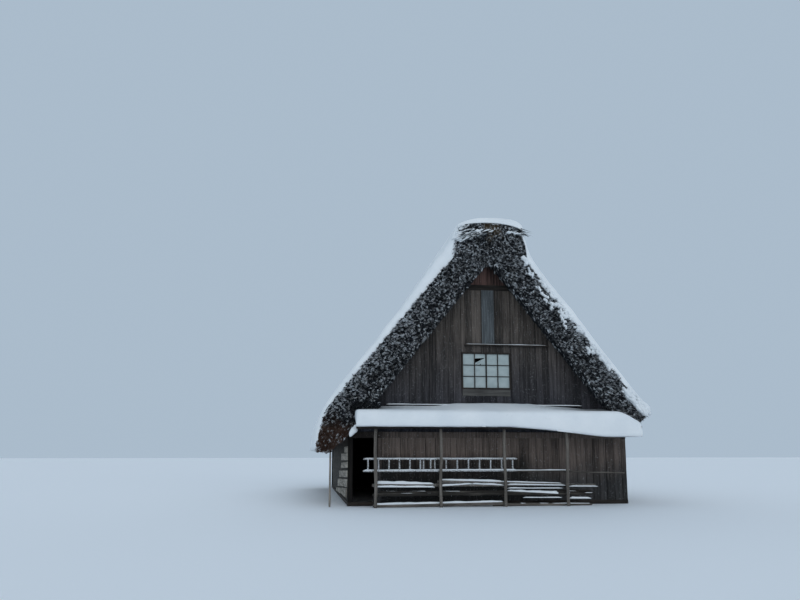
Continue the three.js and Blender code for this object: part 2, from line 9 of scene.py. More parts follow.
import bpy
import numpy as np
from numpy.random import default_rng
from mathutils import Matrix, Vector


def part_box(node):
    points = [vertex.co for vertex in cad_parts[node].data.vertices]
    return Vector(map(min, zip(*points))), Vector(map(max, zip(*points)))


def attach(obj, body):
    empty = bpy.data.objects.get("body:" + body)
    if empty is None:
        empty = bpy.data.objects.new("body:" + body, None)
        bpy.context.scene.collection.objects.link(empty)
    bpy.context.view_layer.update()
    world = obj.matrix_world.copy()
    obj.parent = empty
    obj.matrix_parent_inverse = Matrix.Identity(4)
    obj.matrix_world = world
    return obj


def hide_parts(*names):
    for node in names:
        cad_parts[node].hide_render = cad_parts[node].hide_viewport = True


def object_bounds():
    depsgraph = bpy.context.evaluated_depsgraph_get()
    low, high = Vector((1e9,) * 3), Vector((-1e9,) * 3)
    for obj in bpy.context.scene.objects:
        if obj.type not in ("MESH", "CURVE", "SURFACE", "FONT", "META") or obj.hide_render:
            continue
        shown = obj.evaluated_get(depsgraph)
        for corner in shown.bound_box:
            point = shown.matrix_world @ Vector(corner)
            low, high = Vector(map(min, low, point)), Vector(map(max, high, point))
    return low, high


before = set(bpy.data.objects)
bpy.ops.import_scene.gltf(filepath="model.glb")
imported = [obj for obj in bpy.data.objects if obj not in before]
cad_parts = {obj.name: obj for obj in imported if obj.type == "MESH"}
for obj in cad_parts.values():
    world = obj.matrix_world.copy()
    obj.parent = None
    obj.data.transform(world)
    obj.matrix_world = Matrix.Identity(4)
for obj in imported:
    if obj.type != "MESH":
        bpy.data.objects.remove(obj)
cad_low, cad_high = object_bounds()

# Places taken from the frame
thatch_low, thatch_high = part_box("thatch_left")
front_post_low, front_post_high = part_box("corner_post_front_left")
back_post_low, back_post_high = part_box("corner_post_back_right")
snow_low, snow_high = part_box("snow_left_slope")
pent_low, pent_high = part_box("snow_pent_roof")
collar_low, collar_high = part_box("gable_collar_front")
window_low, window_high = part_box("window_front")
RIDGE_X, VERGE_FRONT, VERGE_BACK = thatch_high.x, thatch_low.y, thatch_high.y
WALL_FRONT, WALL_BACK = front_post_low.y, back_post_high.y
SILL_TOP, POST_TOP = front_post_low.z, front_post_high.z
GIRT_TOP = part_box("girt_front")[1].z

# The roof's section: heights on the ridge line and the fall per metre away from it
ROOF_RISE = 1.2527
OUTER_APEX = 8.48
INNER_APEX = 7.18
RIDGE_SEAT = 7.30
SEAT_HALF = (OUTER_APEX - RIDGE_SEAT) / ROOF_RISE
EAVE_BREAK = 4.86
SLOPE_LENGTH = math.hypot(1, ROOF_RISE)


def outer_roof(x):
    """Height of the thatch's top at a distance from the ridge line."""
    return OUTER_APEX - ROOF_RISE * np.abs(x)


def inner_roof(x):
    """Height of the thatch's underside at a distance from the ridge line."""
    return INNER_APEX - ROOF_RISE * np.abs(x)


# Shapes as arrays


LATTICE = 24
POLE_ROUGHNESS = 0.09
REED_RADII = (0.009, 0.018)


def columns(*parts):
    """Numbers and arrays side by side as the last axis of one array."""
    return np.stack(np.broadcast_arrays(*parts), -1)


def unit(vectors):
    """Vectors scaled to length one."""
    return vectors / np.maximum(np.linalg.norm(vectors, axis=-1, keepdims=True), 1e-9)


def noise(points, scale, seed, octaves=3):
    """Value noise from -1 to 1: random lattice values a distance scale apart, blended by the
    smooth step of each coordinate, summed over octaves of half the size and half the weight."""
    lattice = default_rng(seed).random((LATTICE, LATTICE, LATTICE)) * 2 - 1
    total, weight, size = 0.0, 0.0, scale
    for octave in range(octaves):
        spots = np.asarray(points, float) / size + 7.3 * octave
        cell = np.floor(spots).astype(int)
        share = spots - cell
        share = share * share * (3 - 2 * share)
        value = 0.0
        for corner in range(8):
            step = np.array([corner & 1, corner >> 1 & 1, corner >> 2 & 1])
            index = (cell + step) % LATTICE
            blend = np.prod(np.where(step == 1, share, 1 - share), axis=-1)
            value = value + blend * lattice[index[..., 0], index[..., 1], index[..., 2]]
        total = total + value * 0.5**octave
        weight += 0.5**octave
        size /= 2
    return total / weight


def form(points, faces, tint=0.5):
    """A form whose closed surface is turned outwards: the signed volume of the triangles fanned
    from each face's first corner is made positive."""
    points = np.asarray(points, float).reshape(-1, 3)
    fans = [face[:, [0, i, i + 1]] for face in faces for i in range(1, face.shape[1] - 1)]
    a, b, c = np.moveaxis(points[np.concatenate(fans)] - points[0], 1, 0)
    if np.einsum("ij,ij->", a, np.cross(b, c)) < 0:
        faces = [face[:, ::-1] for face in faces]
    count = len(points)
    return points, faces, np.broadcast_to(tint, count), np.zeros(count)


def joined(forms):
    """Several forms as one."""
    faces, start = [], 0
    for points, own_faces, _, _ in forms:
        faces += [face + start for face in own_faces]
        start += len(points)
    points, tint, frost = (np.concatenate([part[i] for part in forms]) for i in (0, 2, 3))
    return points, faces, tint, frost


def slab(top, bottom, tint=0.5):
    """Closed body between two (nu, nv, 3) grids of points, with walls along their borders."""
    nu, nv = top.shape[:2]
    count = nu * nv
    index = np.arange(count).reshape(nu, nv)
    quads = np.stack([index[:-1, :-1], index[1:, :-1], index[1:, 1:], index[:-1, 1:]], -1).reshape(-1, 4)
    rim = np.concatenate([index[:, 0], index[-1, 1:], index[-2::-1, -1], index[0, -2:0:-1]])
    points = np.concatenate([top.reshape(-1, 3), bottom.reshape(-1, 3)])
    return form(points, [quads, quads[:, ::-1] + count, rim_walls(rim, count)], tint)


def rim_walls(rim, count):
    """Walls between a loop of points and the same loop, count points further on."""
    after = np.roll(rim, -1)
    return np.stack([rim, rim + count, after + count, after], -1)


def tube(rings, tint=0.5):
    """Closed body through rings of points (..., rows, sides, 3), capped at both ends."""
    rows, sides = rings.shape[-3:-1]
    index = np.arange(rings[..., 0].size).reshape(-1, rows, sides)
    after = np.roll(index, -1, axis=2)
    quads = np.stack([index[:, :-1], after[:, :-1], after[:, 1:], index[:, 1:]], -1).reshape(-1, 4)
    return form(rings, [quads, np.concatenate([index[:, 0, ::-1], index[:, -1]])], tint)


def circle_round(ahead, side, sides):
    """Points of a unit circle square to ahead, starting at side."""
    angle = np.arange(sides)[:, None] * 2 * math.pi / sides
    other = np.cross(side, ahead)
    return np.cos(angle) * side[:, None] + np.sin(angle) * other[:, None]


def rings_along(path, radii, sides, seed, rough):
    """Rings round a path: each point is the path plus its radius times a unit circle square to
    the path, with the radius swelled by noise of relative size rough."""
    ahead = unit(np.gradient(path, axis=0))
    circle = circle_round(ahead, unit(np.cross(ahead, [0.0, 0.31, 0.95])), sides)
    swell = 1 + rough * noise(path[:, None] + circle * 0.3, 0.16, seed)
    return path[:, None] + circle * (np.asarray(radii)[:, None] * swell)[..., None]


def pole(start, end, butt, tip, seed, sides=9, bow=0.012):
    """A natural pole: a straight line from start to end bent by noise of size bow that fades at
    both ends, its radius falling evenly from butt to tip, with rounded ends."""
    start, end = np.array(start, float), np.array(end, float)
    rows = max(int(np.linalg.norm(end - start) / 0.12), 6)
    share = np.linspace(0, 1, rows)
    path = start + (end - start) * share[:, None]
    wander = columns(*(noise(path, 0.9, seed + k, 2) for k in range(3)))
    path = path + wander * np.sin(math.pi * share)[:, None] * bow
    radii = butt + (tip - butt) * share
    radii[[0, -1]] *= 0.8
    tint = np.repeat(0.5 + 0.5 * noise(path, 0.4, seed + 9), sides)
    return tube(rings_along(path, radii, sides, seed, POLE_ROUGHNESS), tint)


def reeds(roots, ways, lengths, radii, tint, frost, seed):
    """Thin three-sided spikes, one from each root along its way, closed at the root."""
    rng = default_rng(seed)
    ways = unit(ways)
    side = unit(np.cross(ways, rng.normal(size=ways.shape)))
    ring = roots[:, None] + circle_round(-ways, side, 3) * radii[:, None, None]
    tip = roots + ways * lengths[:, None]
    points = np.concatenate([ring, tip[:, None]], 1).reshape(-1, 3)
    pattern = np.array([[0, 2, 1], [0, 1, 3], [1, 2, 3], [2, 0, 3]])
    faces = (4 * np.arange(len(roots))[:, None, None] + pattern).reshape(-1, 3)
    ends = np.tile([0.0, 0.0, 0.0, 1.0], len(roots))
    shade = np.repeat(np.broadcast_to(tint, len(roots)), 4) + 0.12 * ends
    rime = np.repeat(np.broadcast_to(frost, len(roots)), 4) * (0.75 + 0.25 * ends)
    return points, [faces], shade, rime


def tufts(centres, ways, lengths, tint, frost, seed, per=5, spread=0.011, splay=0.14):
    """Bunches of reeds: each centre gives per reeds scattered round it and splayed round its way,
    of random shares of its length. A bunch has one shade and one frost, a little varied."""
    rng = default_rng(seed)
    count = len(centres) * per
    roots = np.repeat(centres, per, 0) + rng.normal(scale=spread, size=(count, 3))
    aims = np.repeat(unit(ways), per, 0) + rng.normal(scale=splay, size=(count, 3))
    reach = np.repeat(lengths, per) * rng.uniform(0.5, 1.0, count)
    shade = np.clip(np.repeat(tint, per) + rng.normal(scale=0.08, size=count), 0, 1)
    rime = np.repeat(frost, per) * rng.uniform(0.8, 1.1, count)
    return reeds(roots, aims, reach, rng.uniform(*REED_RADII, count), shade, rime, seed + 1)


def smooth_line(points, count, rounds):
    """A corner-cut line through points: each round puts new points a quarter and three quarters
    along each side, and the result is spaced evenly by length."""
    line = np.array(points, float)
    for _ in range(rounds):
        near = line[:-1] * 0.75 + line[1:] * 0.25
        far = line[:-1] * 0.25 + line[1:] * 0.75
        middle = np.stack([near, far], 1).reshape(-1, line.shape[1])
        line = np.concatenate([line[:1], middle, line[-1:]])
    return spaced(line, count)


def spaced(line, count):
    """Points spaced evenly by length along a line."""
    at = lengths_along(line)
    want = np.linspace(0, at[-1], count)
    return columns(*(np.interp(want, at, column) for column in np.transpose(line)))


def lengths_along(line):
    """Length from a line's start to each of its points."""
    steps = np.linalg.norm(np.diff(np.array(line, float), axis=0), axis=1)
    return np.concatenate([[0], np.cumsum(steps)])


def piece(name, parts, material, stands_for=(), smooth=False):
    """Adds a form to the scene as a mesh object that rides on the house."""
    points, faces, tint, frost = parts
    points = np.clip(points, np.array(cad_low), np.array(cad_high))
    sizes = np.concatenate([np.full(len(face), face.shape[1]) for face in faces])
    corners = np.concatenate([face.ravel() for face in faces])
    mesh = bpy.data.meshes.new(name)
    mesh.vertices.add(len(points))
    mesh.vertices.foreach_set("co", points.astype(np.float32).ravel())
    mesh.loops.add(len(corners))
    mesh.loops.foreach_set("vertex_index", corners.astype(np.int32))
    mesh.polygons.add(len(sizes))
    mesh.polygons.foreach_set("loop_start", (np.cumsum(sizes) - sizes).astype(np.int32))
    mesh.polygons.foreach_set("use_smooth", np.full(len(sizes), smooth))
    for label, values in (("tint", tint), ("frost", frost)):
        mesh.attributes.new(label, "FLOAT", "POINT").data.foreach_set("value", values.astype(np.float32))
    mesh.update(calc_edges=True)
    mesh.validate()
    made = linked(name, mesh)
    mesh.materials.append(material)
    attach(made, "root")
    if stands_for:
        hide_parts(*stands_for)


def linked(name, data):
    """A new object in the scene."""
    made = bpy.data.objects.new(name, data)
    bpy.context.scene.collection.objects.link(made)
    return made


# Materials


class Finish:
    """One material's node tree, with short calls for the nodes that the finishes share."""

    def __init__(self, name, roughness, specular=0.25):
        self.material = bpy.data.materials.new(name)
        self.material.use_nodes = True
        self.tree = self.material.node_tree
        self.surface = self.tree.nodes["Principled BSDF"]
        self.surface.inputs["Roughness"].default_value = roughness
        self.surface.inputs["Specular IOR Level"].default_value = specular
        self.coordinates = self.tree.nodes.new("ShaderNodeTexCoord").outputs["Object"]

    def feed(self, socket, value):
        if isinstance(value, bpy.types.NodeSocket):
            self.tree.links.new(value, socket)
        else:
            socket.default_value = (*value, 1) if socket.type == "RGBA" else value

    def node(self, kind, settings=(), **links):
        made = self.tree.nodes.new("ShaderNode" + kind)
        for key, value in dict(settings).items():
            setattr(made, key, value)
        for key, value in links.items():
            self.feed(made.inputs[key.replace("_", " ")], value)
        return made

    def noise(self, scale, detail=4.0, stretch=(1, 1, 1), roughness=0.55):
        place = self.node("Mapping", Vector=self.coordinates, Scale=stretch).outputs[0]
        made = self.node("TexNoise", Vector=place, Scale=scale, Detail=detail, Roughness=roughness)
        return made.outputs["Fac"]

    def attribute(self, name):
        return self.node("Attribute", {"attribute_name": name}).outputs["Fac"]

    def math(self, kind, a, b):
        made = self.node("Math", {"operation": kind})
        self.feed(made.inputs[0], a)
        self.feed(made.inputs[1], b)
        return made.outputs[0]

    def total(self, *terms):
        """The sum of sockets, numbers and (socket, weight) pairs."""
        value, *rest = [self.math("MULTIPLY", *term) if isinstance(term, tuple) else term for term in terms]
        for term in rest:
            value = self.math("ADD", value, term)
        return value

    def span(self, value, low, high, start=0.0, end=1.0):
        made = self.node("MapRange", Value=value, From_Min=low, From_Max=high, To_Min=start, To_Max=end)
        return made.outputs[0]

    def along(self, axis):
        return self.node("SeparateXYZ", Vector=self.coordinates).outputs[axis]

    def ramp(self, value, stops):
        made = self.node("ValToRGB", Fac=value)
        elements = made.color_ramp.elements
        while len(elements) < len(stops):
            elements.new(0.5)
        for element, (spot, colour) in zip(elements, stops):
            element.position = spot
            element.color = (*colour, 1)
        return made.outputs["Color"]

    def mix(self, share, a, b):
        made = self.node("Mix", {"data_type": "RGBA"})
        for socket, value in ((0, share), (6, a), (7, b)):
            self.feed(made.inputs[socket], value)
        return made.outputs[2]

    def bump(self, height, strength, distance):
        made = self.node("Bump", Height=height, Strength=strength, Distance=distance)
        self.feed(self.surface.inputs["Normal"], made.outputs[0])

    def colour(self, value):
        self.feed(self.surface.inputs["Base Color"], value)
        return self.material


SNOW_WHITE = (0.86, 0.9, 0.94)
UPRIGHT, ACROSS, ALONG = (1, 1, 0.05), (0.05, 1, 1), (1, 0.05, 1)
GRAIN_SCALE = 22
REED_STOPS = [
    (0.2, (0.004, 0.005, 0.006)),
    (0.45, (0.02, 0.022, 0.026)),
    (0.7, (0.07, 0.074, 0.08)),
    (0.95, (0.2, 0.2, 0.195)),
]


def wood(name, middle, grain=UPRIGHT, darker_below=None, rime=None):
    """Weathered wood round one middle colour: fine streaks along the grain over broad stains,
    each board shifted by its tint, from deep cracks a fifth as bright to worn ridges twice as
    bright. Rime is the noise level above which specks of frost lie on it."""
    finish = Finish(name, 0.85)
    streaks = finish.noise(GRAIN_SCALE, 5, grain, 0.65)
    broad = finish.noise(1.7, 3, (1, 1, 0.45))
    pores = finish.noise(GRAIN_SCALE * 5, 2, grain)
    value = finish.total((streaks, 0.85), (broad, 0.3), (finish.attribute("tint"), 0.24), -0.165)
    stops = ((0.3, 0.2), (0.45, 0.65), (0.56, 1.1), (0.8, 2.1))
    colour = finish.ramp(value, [(spot, np.array(middle) * bright) for spot, bright in stops])
    # Below a band of heights, wobbled by the broad noise, the wood turns to darker streaks
    if darker_below:
        low, high, shade = darker_below
        wobbled_height = finish.total(finish.along("Z"), (broad, 0.8))
        streaked = finish.mix(finish.span(value, 0.4, 0.75), np.array(shade) * 0.6, np.array(shade) * 2.2)
        colour = finish.mix(finish.span(wobbled_height, low, high), streaked, colour)
    if rime:
        speck = finish.total(finish.noise(48, 2), finish.attribute("frost"))
        colour = finish.mix(finish.span(speck, rime, rime + 0.1, 0.0, 0.7), colour, SNOW_WHITE)
    finish.bump(finish.total(streaks, (pores, 0.4)), 0.7, 0.006)
    return finish.colour(colour)


def reed_finish(name, brown, axis, middle, span):
    """Old thatch: each reed its own shade, some reeds frosted. It turns brown over a span of
    distances from the middle, measured along one axis."""
    finish = Finish(name, 0.95, 0.1)
    shade = finish.total((finish.noise(9, 4), 0.5), (finish.attribute("tint"), 0.7))
    colour = finish.ramp(shade, REED_STOPS)
    away = finish.math("ABSOLUTE", finish.math("SUBTRACT", finish.along(axis), middle), 0.0)
    edge = finish.total(away, (finish.noise(1.3, 3), 1.2))
    colour = finish.mix(finish.span(edge, *span), colour, finish.mix(0.6, colour, brown))
    frost = finish.total(finish.attribute("frost"), (finish.noise(22, 2), 0.3))
    colour = finish.mix(finish.span(frost, 0.35, 1.05), colour, SNOW_WHITE)
    finish.bump(finish.noise(90, 3, (1, 0.3, 1)), 0.6, 0.01)
    return finish.colour(colour)


def snow_finish():
    """Settled snow: nearly white with faint cool hollows, soft grain and gentle dents, and greyed
    by painted shade where its tint is low: clean at 0.5, greyest at 0."""
    finish = Finish("settled_snow", 0.7, 0.2)
    clean = finish.ramp(finish.noise(1.1, 3), [(0.3, (0.8, 0.835, 0.86)), (0.7, (0.91, 0.93, 0.94))])
    clear_of_painted_shade = finish.total(finish.attribute("tint"), (finish.noise(14, 4), 0.3))
    # The dark grey that a low tint mixes in is painted shade
    colour = finish.mix(finish.span(clear_of_painted_shade, 0.15, 0.55), (0.16, 0.165, 0.17), clean)
    finish.bump(finish.total(finish.noise(9, 4), (finish.noise(85, 3), 0.18)), 0.35, 0.03)
    return finish.colour(colour)


def paper_finish():
    """Window paper: pale grey-green fibres, cloudy and a little yellowed."""
    finish = Finish("window_paper", 0.75, 0.2)
    fibres = finish.noise(150, 3, (1, 1, 0.35))
    value = finish.total((finish.noise(4.5, 4), 0.7), (fibres, 0.3))
    finish.bump(fibres, 0.3, 0.002)
    return finish.colour(finish.ramp(value, [(0.3, (0.31, 0.37, 0.37)), (0.62, (0.43, 0.49, 0.485))]))


DARK, BARE = (0.03, 0.024, 0.02), (0.13, 0.115, 0.1)
BOARDS = wood("old_brown_boards", (0.066, 0.055, 0.047), darker_below=(3.0, 5.4, (0.02, 0.0205, 0.026)), rime=0.67)
WALL_BOARDS = wood("wall_boards", (0.085, 0.066, 0.056), darker_below=(1.0, 1.8, (0.026, 0.025, 0.025)), rime=0.67)
RED_BOARDS = wood("reddish_boards", (0.088, 0.05, 0.042), rime=0.7)
SIDE_BOARDS = wood("bleached_side_boards", (0.37, 0.335, 0.285), ALONG)
SIDE_WALL = wood("dark_side_wall", (0.05, 0.043, 0.035), ALONG)
GREY_BOARD = wood("blue_grey_board", (0.076, 0.085, 0.09), rime=0.66)
TIMBER = wood("dark_timber", DARK)
ACROSS_TIMBER = wood("dark_timber_across", DARK, ACROSS)
ALONG_TIMBER = wood("dark_timber_along", DARK, ALONG)
BEAM_WOOD = wood("brown_beam", (0.07, 0.05, 0.042), ACROSS, rime=0.68)
SILL_BOARD = wood("worn_sill_board", (0.06, 0.057, 0.053), ACROSS)
POST_WOOD = wood("bare_post_wood", BARE, rime=0.68)
POLE_WOOD = wood("stored_pole_wood", BARE, ACROSS, rime=1.0)
THATCH = reed_finish("old_thatch", (0.11, 0.056, 0.034), "Z", 0.0, (3.1, 2.75))
RIDGE_THATCH = reed_finish("ridge_thatch", (0.16, 0.12, 0.075), "X", RIDGE_X + 0.11, (1.0, 0.8))
SNOW = snow_finish()
PAPER = paper_finish()


# Thatch


COURSE, KERB_REACH, FACE_INSET = 0.21, 0.4, 0.05
# Verge reeds: longest length, scatter of their ways, depth of their roots, and shares frosted
VERGE_REED, VERGE_SCATTER, VERGE_DEPTH = 0.13, 0.32, 0.045
VERGE_FROST, TOP_FROST = 0.21, 0.25
# Where the left eave's cut end starts along the slope, and the share over which it fades in
EAVE_CUT, EAVE_FADE = 0.84, 0.06


def eave_lines(side):
    """The top and underside lines of one roof plane as matching (distance, height) points."""
    top = [(0.0, RIDGE_SEAT), (SEAT_HALF, RIDGE_SEAT)]
    under = [(0.0, INNER_APEX), (0.42, inner_roof(0.42))]
    if side < 0:
        top += [(EAVE_BREAK, outer_roof(EAVE_BREAK)), (5.05, 1.59)]
        under += [(4.14, inner_roof(4.14)), (4.73, 1.505)]
    else:
        top += [(4.5, outer_roof(4.5)), (4.69, outer_roof(4.69))]
        under += [(4.06, inner_roof(4.06)), (4.46, 2.47)]
    return np.array(top), np.array(under)


def thatch_at(side, along, across):
    """Point (x, z) of a roof plane's section: along runs 0 to 1 from ridge to eave by the top
    line's length, across runs 0 to 1 from the underside to the top."""
    top, under = eave_lines(side)
    at = lengths_along(top)
    high = [np.interp(along, at / at[-1], top[:, i]) for i in (0, 1)]
    low = [np.interp(along, at / at[-1], under[:, i]) for i in (0, 1)]
    away, height = (low[i] + (high[i] - low[i]) * across for i in (0, 1))
    return RIDGE_X + side * away, height


def verge_kerb(side, away, depth):
    """How far the left slope's thatch stands up into the snow along its verges. It grows down the
    slope, rises along each course and drops at the course's end, and fades out from the verge."""
    if side > 0:
        return 0.0 * away
    course = (away / COURSE + 0.35 * noise(columns(away, 0, 0), 0.5, 17, 2)) % 1.0
    height = np.interp(away, [1.1, 1.5, 4.7, 5.0], [0.0, 0.1, 0.17, 0.0]) + 0.07 * course
    verge_distance = np.minimum(np.abs(depth - VERGE_FRONT), np.abs(depth - VERGE_BACK))
    return height * np.clip(1.15 - verge_distance / KERB_REACH, 0, 1)


def thatch_body(side, seed):
    """One roof plane: a closed band round its section, swept from ridge to eave. Its two verge
    faces are drawn in a little and heaved by noise, so that the reeds stand on lumpy ground."""
    rows, face_rows, top_rows, under_rows = 96, 14, 12, 5
    front, back = VERGE_FRONT + FACE_INSET, VERGE_BACK - FACE_INSET
    face = np.linspace(0, 1, face_rows)
    across = np.concatenate([np.ones(top_rows), face[::-1], np.zeros(under_rows), face])
    top_depth = np.linspace(back, front, top_rows + 2)[1:-1]
    under_depth = np.linspace(front, back, under_rows + 2)[1:-1]
    depth = np.concatenate([top_depth, np.full(face_rows, front), under_depth, np.full(face_rows, back)])
    along = np.concatenate([[0.0], np.linspace(0.08, 1, rows - 1)])
    x, z = thatch_at(side, along[:, None], across[None])
    points = columns(x, depth, z)
    lumps = 0.05 * noise(points, 0.28, seed) + 0.025 * noise(points, 0.07, seed + 1, 2)
    face_painted_shade = (np.abs(depth - front) < 1e-6) | (np.abs(depth - back) < 1e-6)
    points[..., 1] += np.where(face_painted_shade, lumps * np.where(depth < 0, -1.0, 1.0), 0)
    points[..., 2] += 0.02 * noise(points, 0.2, seed + 2)
    points[..., 2] += verge_kerb(side, np.abs(x - RIDGE_X), points[..., 1]) * across[None] ** 2
    return tube(points, 0.12 + 0.2 * noise(points.reshape(-1, 3), 0.12, seed + 3))


def frosted(rng, share):
    """Frost of bunches: none on most, heavy on a random share of them."""
    return np.where(rng.random(len(share)) < share, rng.uniform(0.5, 1.0, len(share)), 0.0)


def slope_ways(side):
    """Unit vectors of one roof plane: out of it and down along it."""
    off = np.array([side * ROOF_RISE, 0, 1]) / SLOPE_LENGTH
    down = np.array([side, 0, -ROOF_RISE]) / SLOPE_LENGTH
    return off, down


def verge_tufts(side, y_face, facing, count, seed):
    """Reed ends of a verge face, in bunches that point outwards, down the slope and a little off
    the roof by random shares. More of them are frosted near the top edge."""
    rng = default_rng(seed)
    along = rng.random(count)
    across = rng.uniform(0.0, 0.98, count)
    x, z = thatch_at(side, along, across)
    z = z + verge_kerb(side, np.abs(x - RIDGE_X), np.full(count, y_face)) * across**2
    eave_cut = np.clip((along - EAVE_CUT) / EAVE_FADE, 0, 1) if side < 0 else 0.0 * along
    centres = columns(x, y_face - facing * VERGE_DEPTH * (1 - 0.7 * across**4), z)
    off, down = slope_ways(side)
    lean = rng.normal(scale=VERGE_SCATTER, size=(count, 2))
    rise = (0.1 + 0.3 * across) * (1 - 1.4 * eave_cut) + lean[:, 0] * (1 - 0.6 * eave_cut)
    ways = rise[:, None] * off + (0.5 + lean[:, 1])[:, None] * down
    ways[:, 1] += facing * 0.6
    lengths = VERGE_REED * rng.uniform(0.5, 1.0, count)
    near_top = np.clip((across - 0.55) / 0.4, 0, 1) * np.clip((along - 0.2) / 0.1, 0, 1)
    frost = frosted(rng, (VERGE_FROST + TOP_FROST * near_top) * (1 - 0.6 * eave_cut))
    return tufts(centres, ways, lengths, rng.random(count) ** 2.2, frost, seed + 7)


def soffit_tufts(side, y0, y1, count, seed):
    """Reed ends hanging from the underside of a verge, drawn down the slope, longest at the peak."""
    rng = default_rng(seed)
    along = rng.random(count)
    x, z = thatch_at(side, along, np.zeros(count))
    centres = columns(x, rng.uniform(y0, y1, count), z + 0.03)
    off, down = slope_ways(side)
    ways = down - (0.15 + 0.35 * rng.random(count))[:, None] * off
    ways += rng.normal(scale=0.15, size=ways.shape)
    lengths = rng.uniform(0.07, 0.13, count) + 0.14 * np.exp(-along / 0.06)
    shade = rng.random(count) ** 2.2
    return tufts(centres, ways, lengths, shade, frosted(rng, 0.08 * (along < 0.8)), seed + 7)


def loose_reeds(rng, side, along, across, lift, way, scatter):
    """Roots and ways of reeds scattered over the roof's whole length at places of its section."""
    x, z = thatch_at(side, along, across)
    roots = columns(x, rng.uniform(VERGE_FRONT + 0.02, VERGE_BACK - 0.02, len(x)), z + lift)
    return roots, np.array(way) + rng.normal(scale=scatter, size=(len(x), 3))


def eave_reeds(side, count, seed):
    """Cut reed ends along an eave: they start on its end face and point down the slope."""
    rng = default_rng(seed)
    lean, reach, wide = (0.45, (0.03, 0.09), 1.0) if side > 0 else (-0.12, (0.015, 0.035), 0.85)
    along, across = np.full(count, 0.995), rng.random(count) * wide
    roots, ways = loose_reeds(rng, side, along, across, 0.0, (lean, 0, -0.8), 0.16)
    lengths, radii = rng.uniform(*reach, count), rng.uniform(0.006, 0.012, count)
    shade = np.clip(0.45 + 0.5 * noise(roots, 0.15, seed + 1, 2), 0, 1)
    return reeds(roots, ways, lengths, radii, shade, 0.0, seed + 2)


def under_reeds(count, seed):
    """Reeds under the left eave, hanging from the soffit between wall and eave log."""
    rng = default_rng(seed)
    along = rng.uniform(0.86, 0.97, count)
    roots, ways = loose_reeds(rng, -1, along, np.zeros(count), 0.01, (-0.62, 0, -0.75), 0.12)
    lengths, radii = rng.uniform(0.06, 0.16, count), rng.uniform(0.005, 0.01, count)
    return reeds(roots, ways, lengths, radii, rng.random(count), 0.0, seed + 2)


RIDGE_LOWER = [(1.1, 7.103), (1.13, 7.25), (1.11, 7.5), (1.04, 7.76), (0.93, 7.958)]
RIDGE_UPPER = [(0.93, 7.962), (0.99, 8.02), (0.97, 8.12), (0.62, 8.24), (0.0, 8.29)]
RIDGE_FRONT, RIDGE_BACK = VERGE_FRONT + 0.02, VERGE_BACK - 0.05
RIDGE_LUMPS = 0.03


def ridge_layer(half_line, base, seed):
    """A ridge layer: its half outline (distance, height) mirrored and closed over its level base,
    corner-cut, swept along the ridge and heaved inwards by noise."""
    mirrored = [(-x, z) for x, z in reversed(half_line) if x > 0]
    outline = [*half_line, *mirrored, (-0.9, base), (0.9, base), half_line[0]]
    section = smooth_line(outline, 56, 2)[:-1]
    depth = np.linspace(RIDGE_FRONT + 0.035, RIDGE_BACK, 54)[:, None]
    rings = columns(RIDGE_X + section[:, 0], depth, section[:, 1])
    heave = RIDGE_LUMPS * (noise(rings, 0.22, seed) - 0.8)
    rings[..., [0, 2]] += heave[..., None] * unit(section - section.mean(0))
    return tube(rings, 0.15 + 0.2 * noise(rings.reshape(-1, 3), 0.1, seed + 1))


def ridge_tufts(half_line, y_face, facing, count, seed, longest=0.12):
    """Reed ends of a ridge layer's end: bunches spread over its face, whose half width is read
    from its outline at each height. They point outwards and down, and more sideways near its sides."""
    rng = default_rng(seed)
    outline = np.array(half_line)
    z = rng.uniform(outline[0, 1] - 0.12, outline[-1, 1], count)
    sideways = rng.uniform(-0.98, 0.98, count)
    x = RIDGE_X + sideways * np.interp(z, outline[:, 1], outline[:, 0])
    centres = columns(x, y_face - facing * 0.04, z - 0.02)
    ways = columns(0.7 * sideways, facing * 0.6, -0.45)
    ways += rng.normal(scale=0.25, size=ways.shape)
    lengths = longest * rng.uniform(0.5, 1.0, count)
    frost = frosted(rng, 0.27 + 0.14 * np.clip(-sideways, 0, 1))
    return tufts(centres, ways, lengths, rng.random(count) ** 2.0, frost, seed + 7)


def hem_tufts(away, low, high, count, seed, longest):
    """Bunches along both lower edges of a ridge layer, hanging outwards and down."""
    rng = default_rng(seed)
    side = rng.choice([-1.0, 1.0], count)
    y = rng.uniform(RIDGE_FRONT, RIDGE_BACK, count)
    centres = columns(RIDGE_X + side * (away - 0.03), y, rng.uniform(low, high, count))
    ways = columns(side * 0.45, 0, -0.8) + rng.normal(scale=0.2, size=(count, 3))
    lengths = longest * rng.uniform(0.4, 1.0, count)
    shade = rng.random(count)
    return tufts(centres, ways, lengths, shade, frosted(rng, np.full(count, 0.2)), seed + 7, 6, 0.02, 0.2)


def stray_reeds(low, high, way, count, seed, longest):
    """Long dark reeds that stick out of the ridge's front, rooted in the box from low to high
    (x from the ridge line, y from the verge) and pointing along one way, a little scattered."""
    rng = default_rng(seed)
    roots = rng.uniform(low, high, (count, 3)) + np.array([RIDGE_X, VERGE_FRONT, 0])
    ways = np.array(way) + rng.normal(scale=0.12, size=(count, 3))
    lengths, radii = longest * rng.uniform(0.5, 1.0, count), rng.uniform(0.009, 0.015, count)
    return reeds(roots, ways, lengths, radii, 0.25 * rng.random(count), 0.0, seed + 1)


def hanging_reeds(count, seed):
    """Loose reeds that hang forward from the left soffit over the pent roof's left end."""
    rng = default_rng(seed)
    roots = rng.uniform((-3.98, -5.75, 2.7), (-3.25, -5.4, 2.92), (count, 3)) + np.array([RIDGE_X, 0, 0])
    ways = np.array([-0.3, -0.8, -0.25]) + rng.normal(scale=0.12, size=(count, 3))
    lengths = rng.uniform(0.22, 0.45, count)
    return tufts(roots, ways, lengths, 0.5 * rng.random(count), frosted(rng, np.full(count, 0.06)), seed + 7)


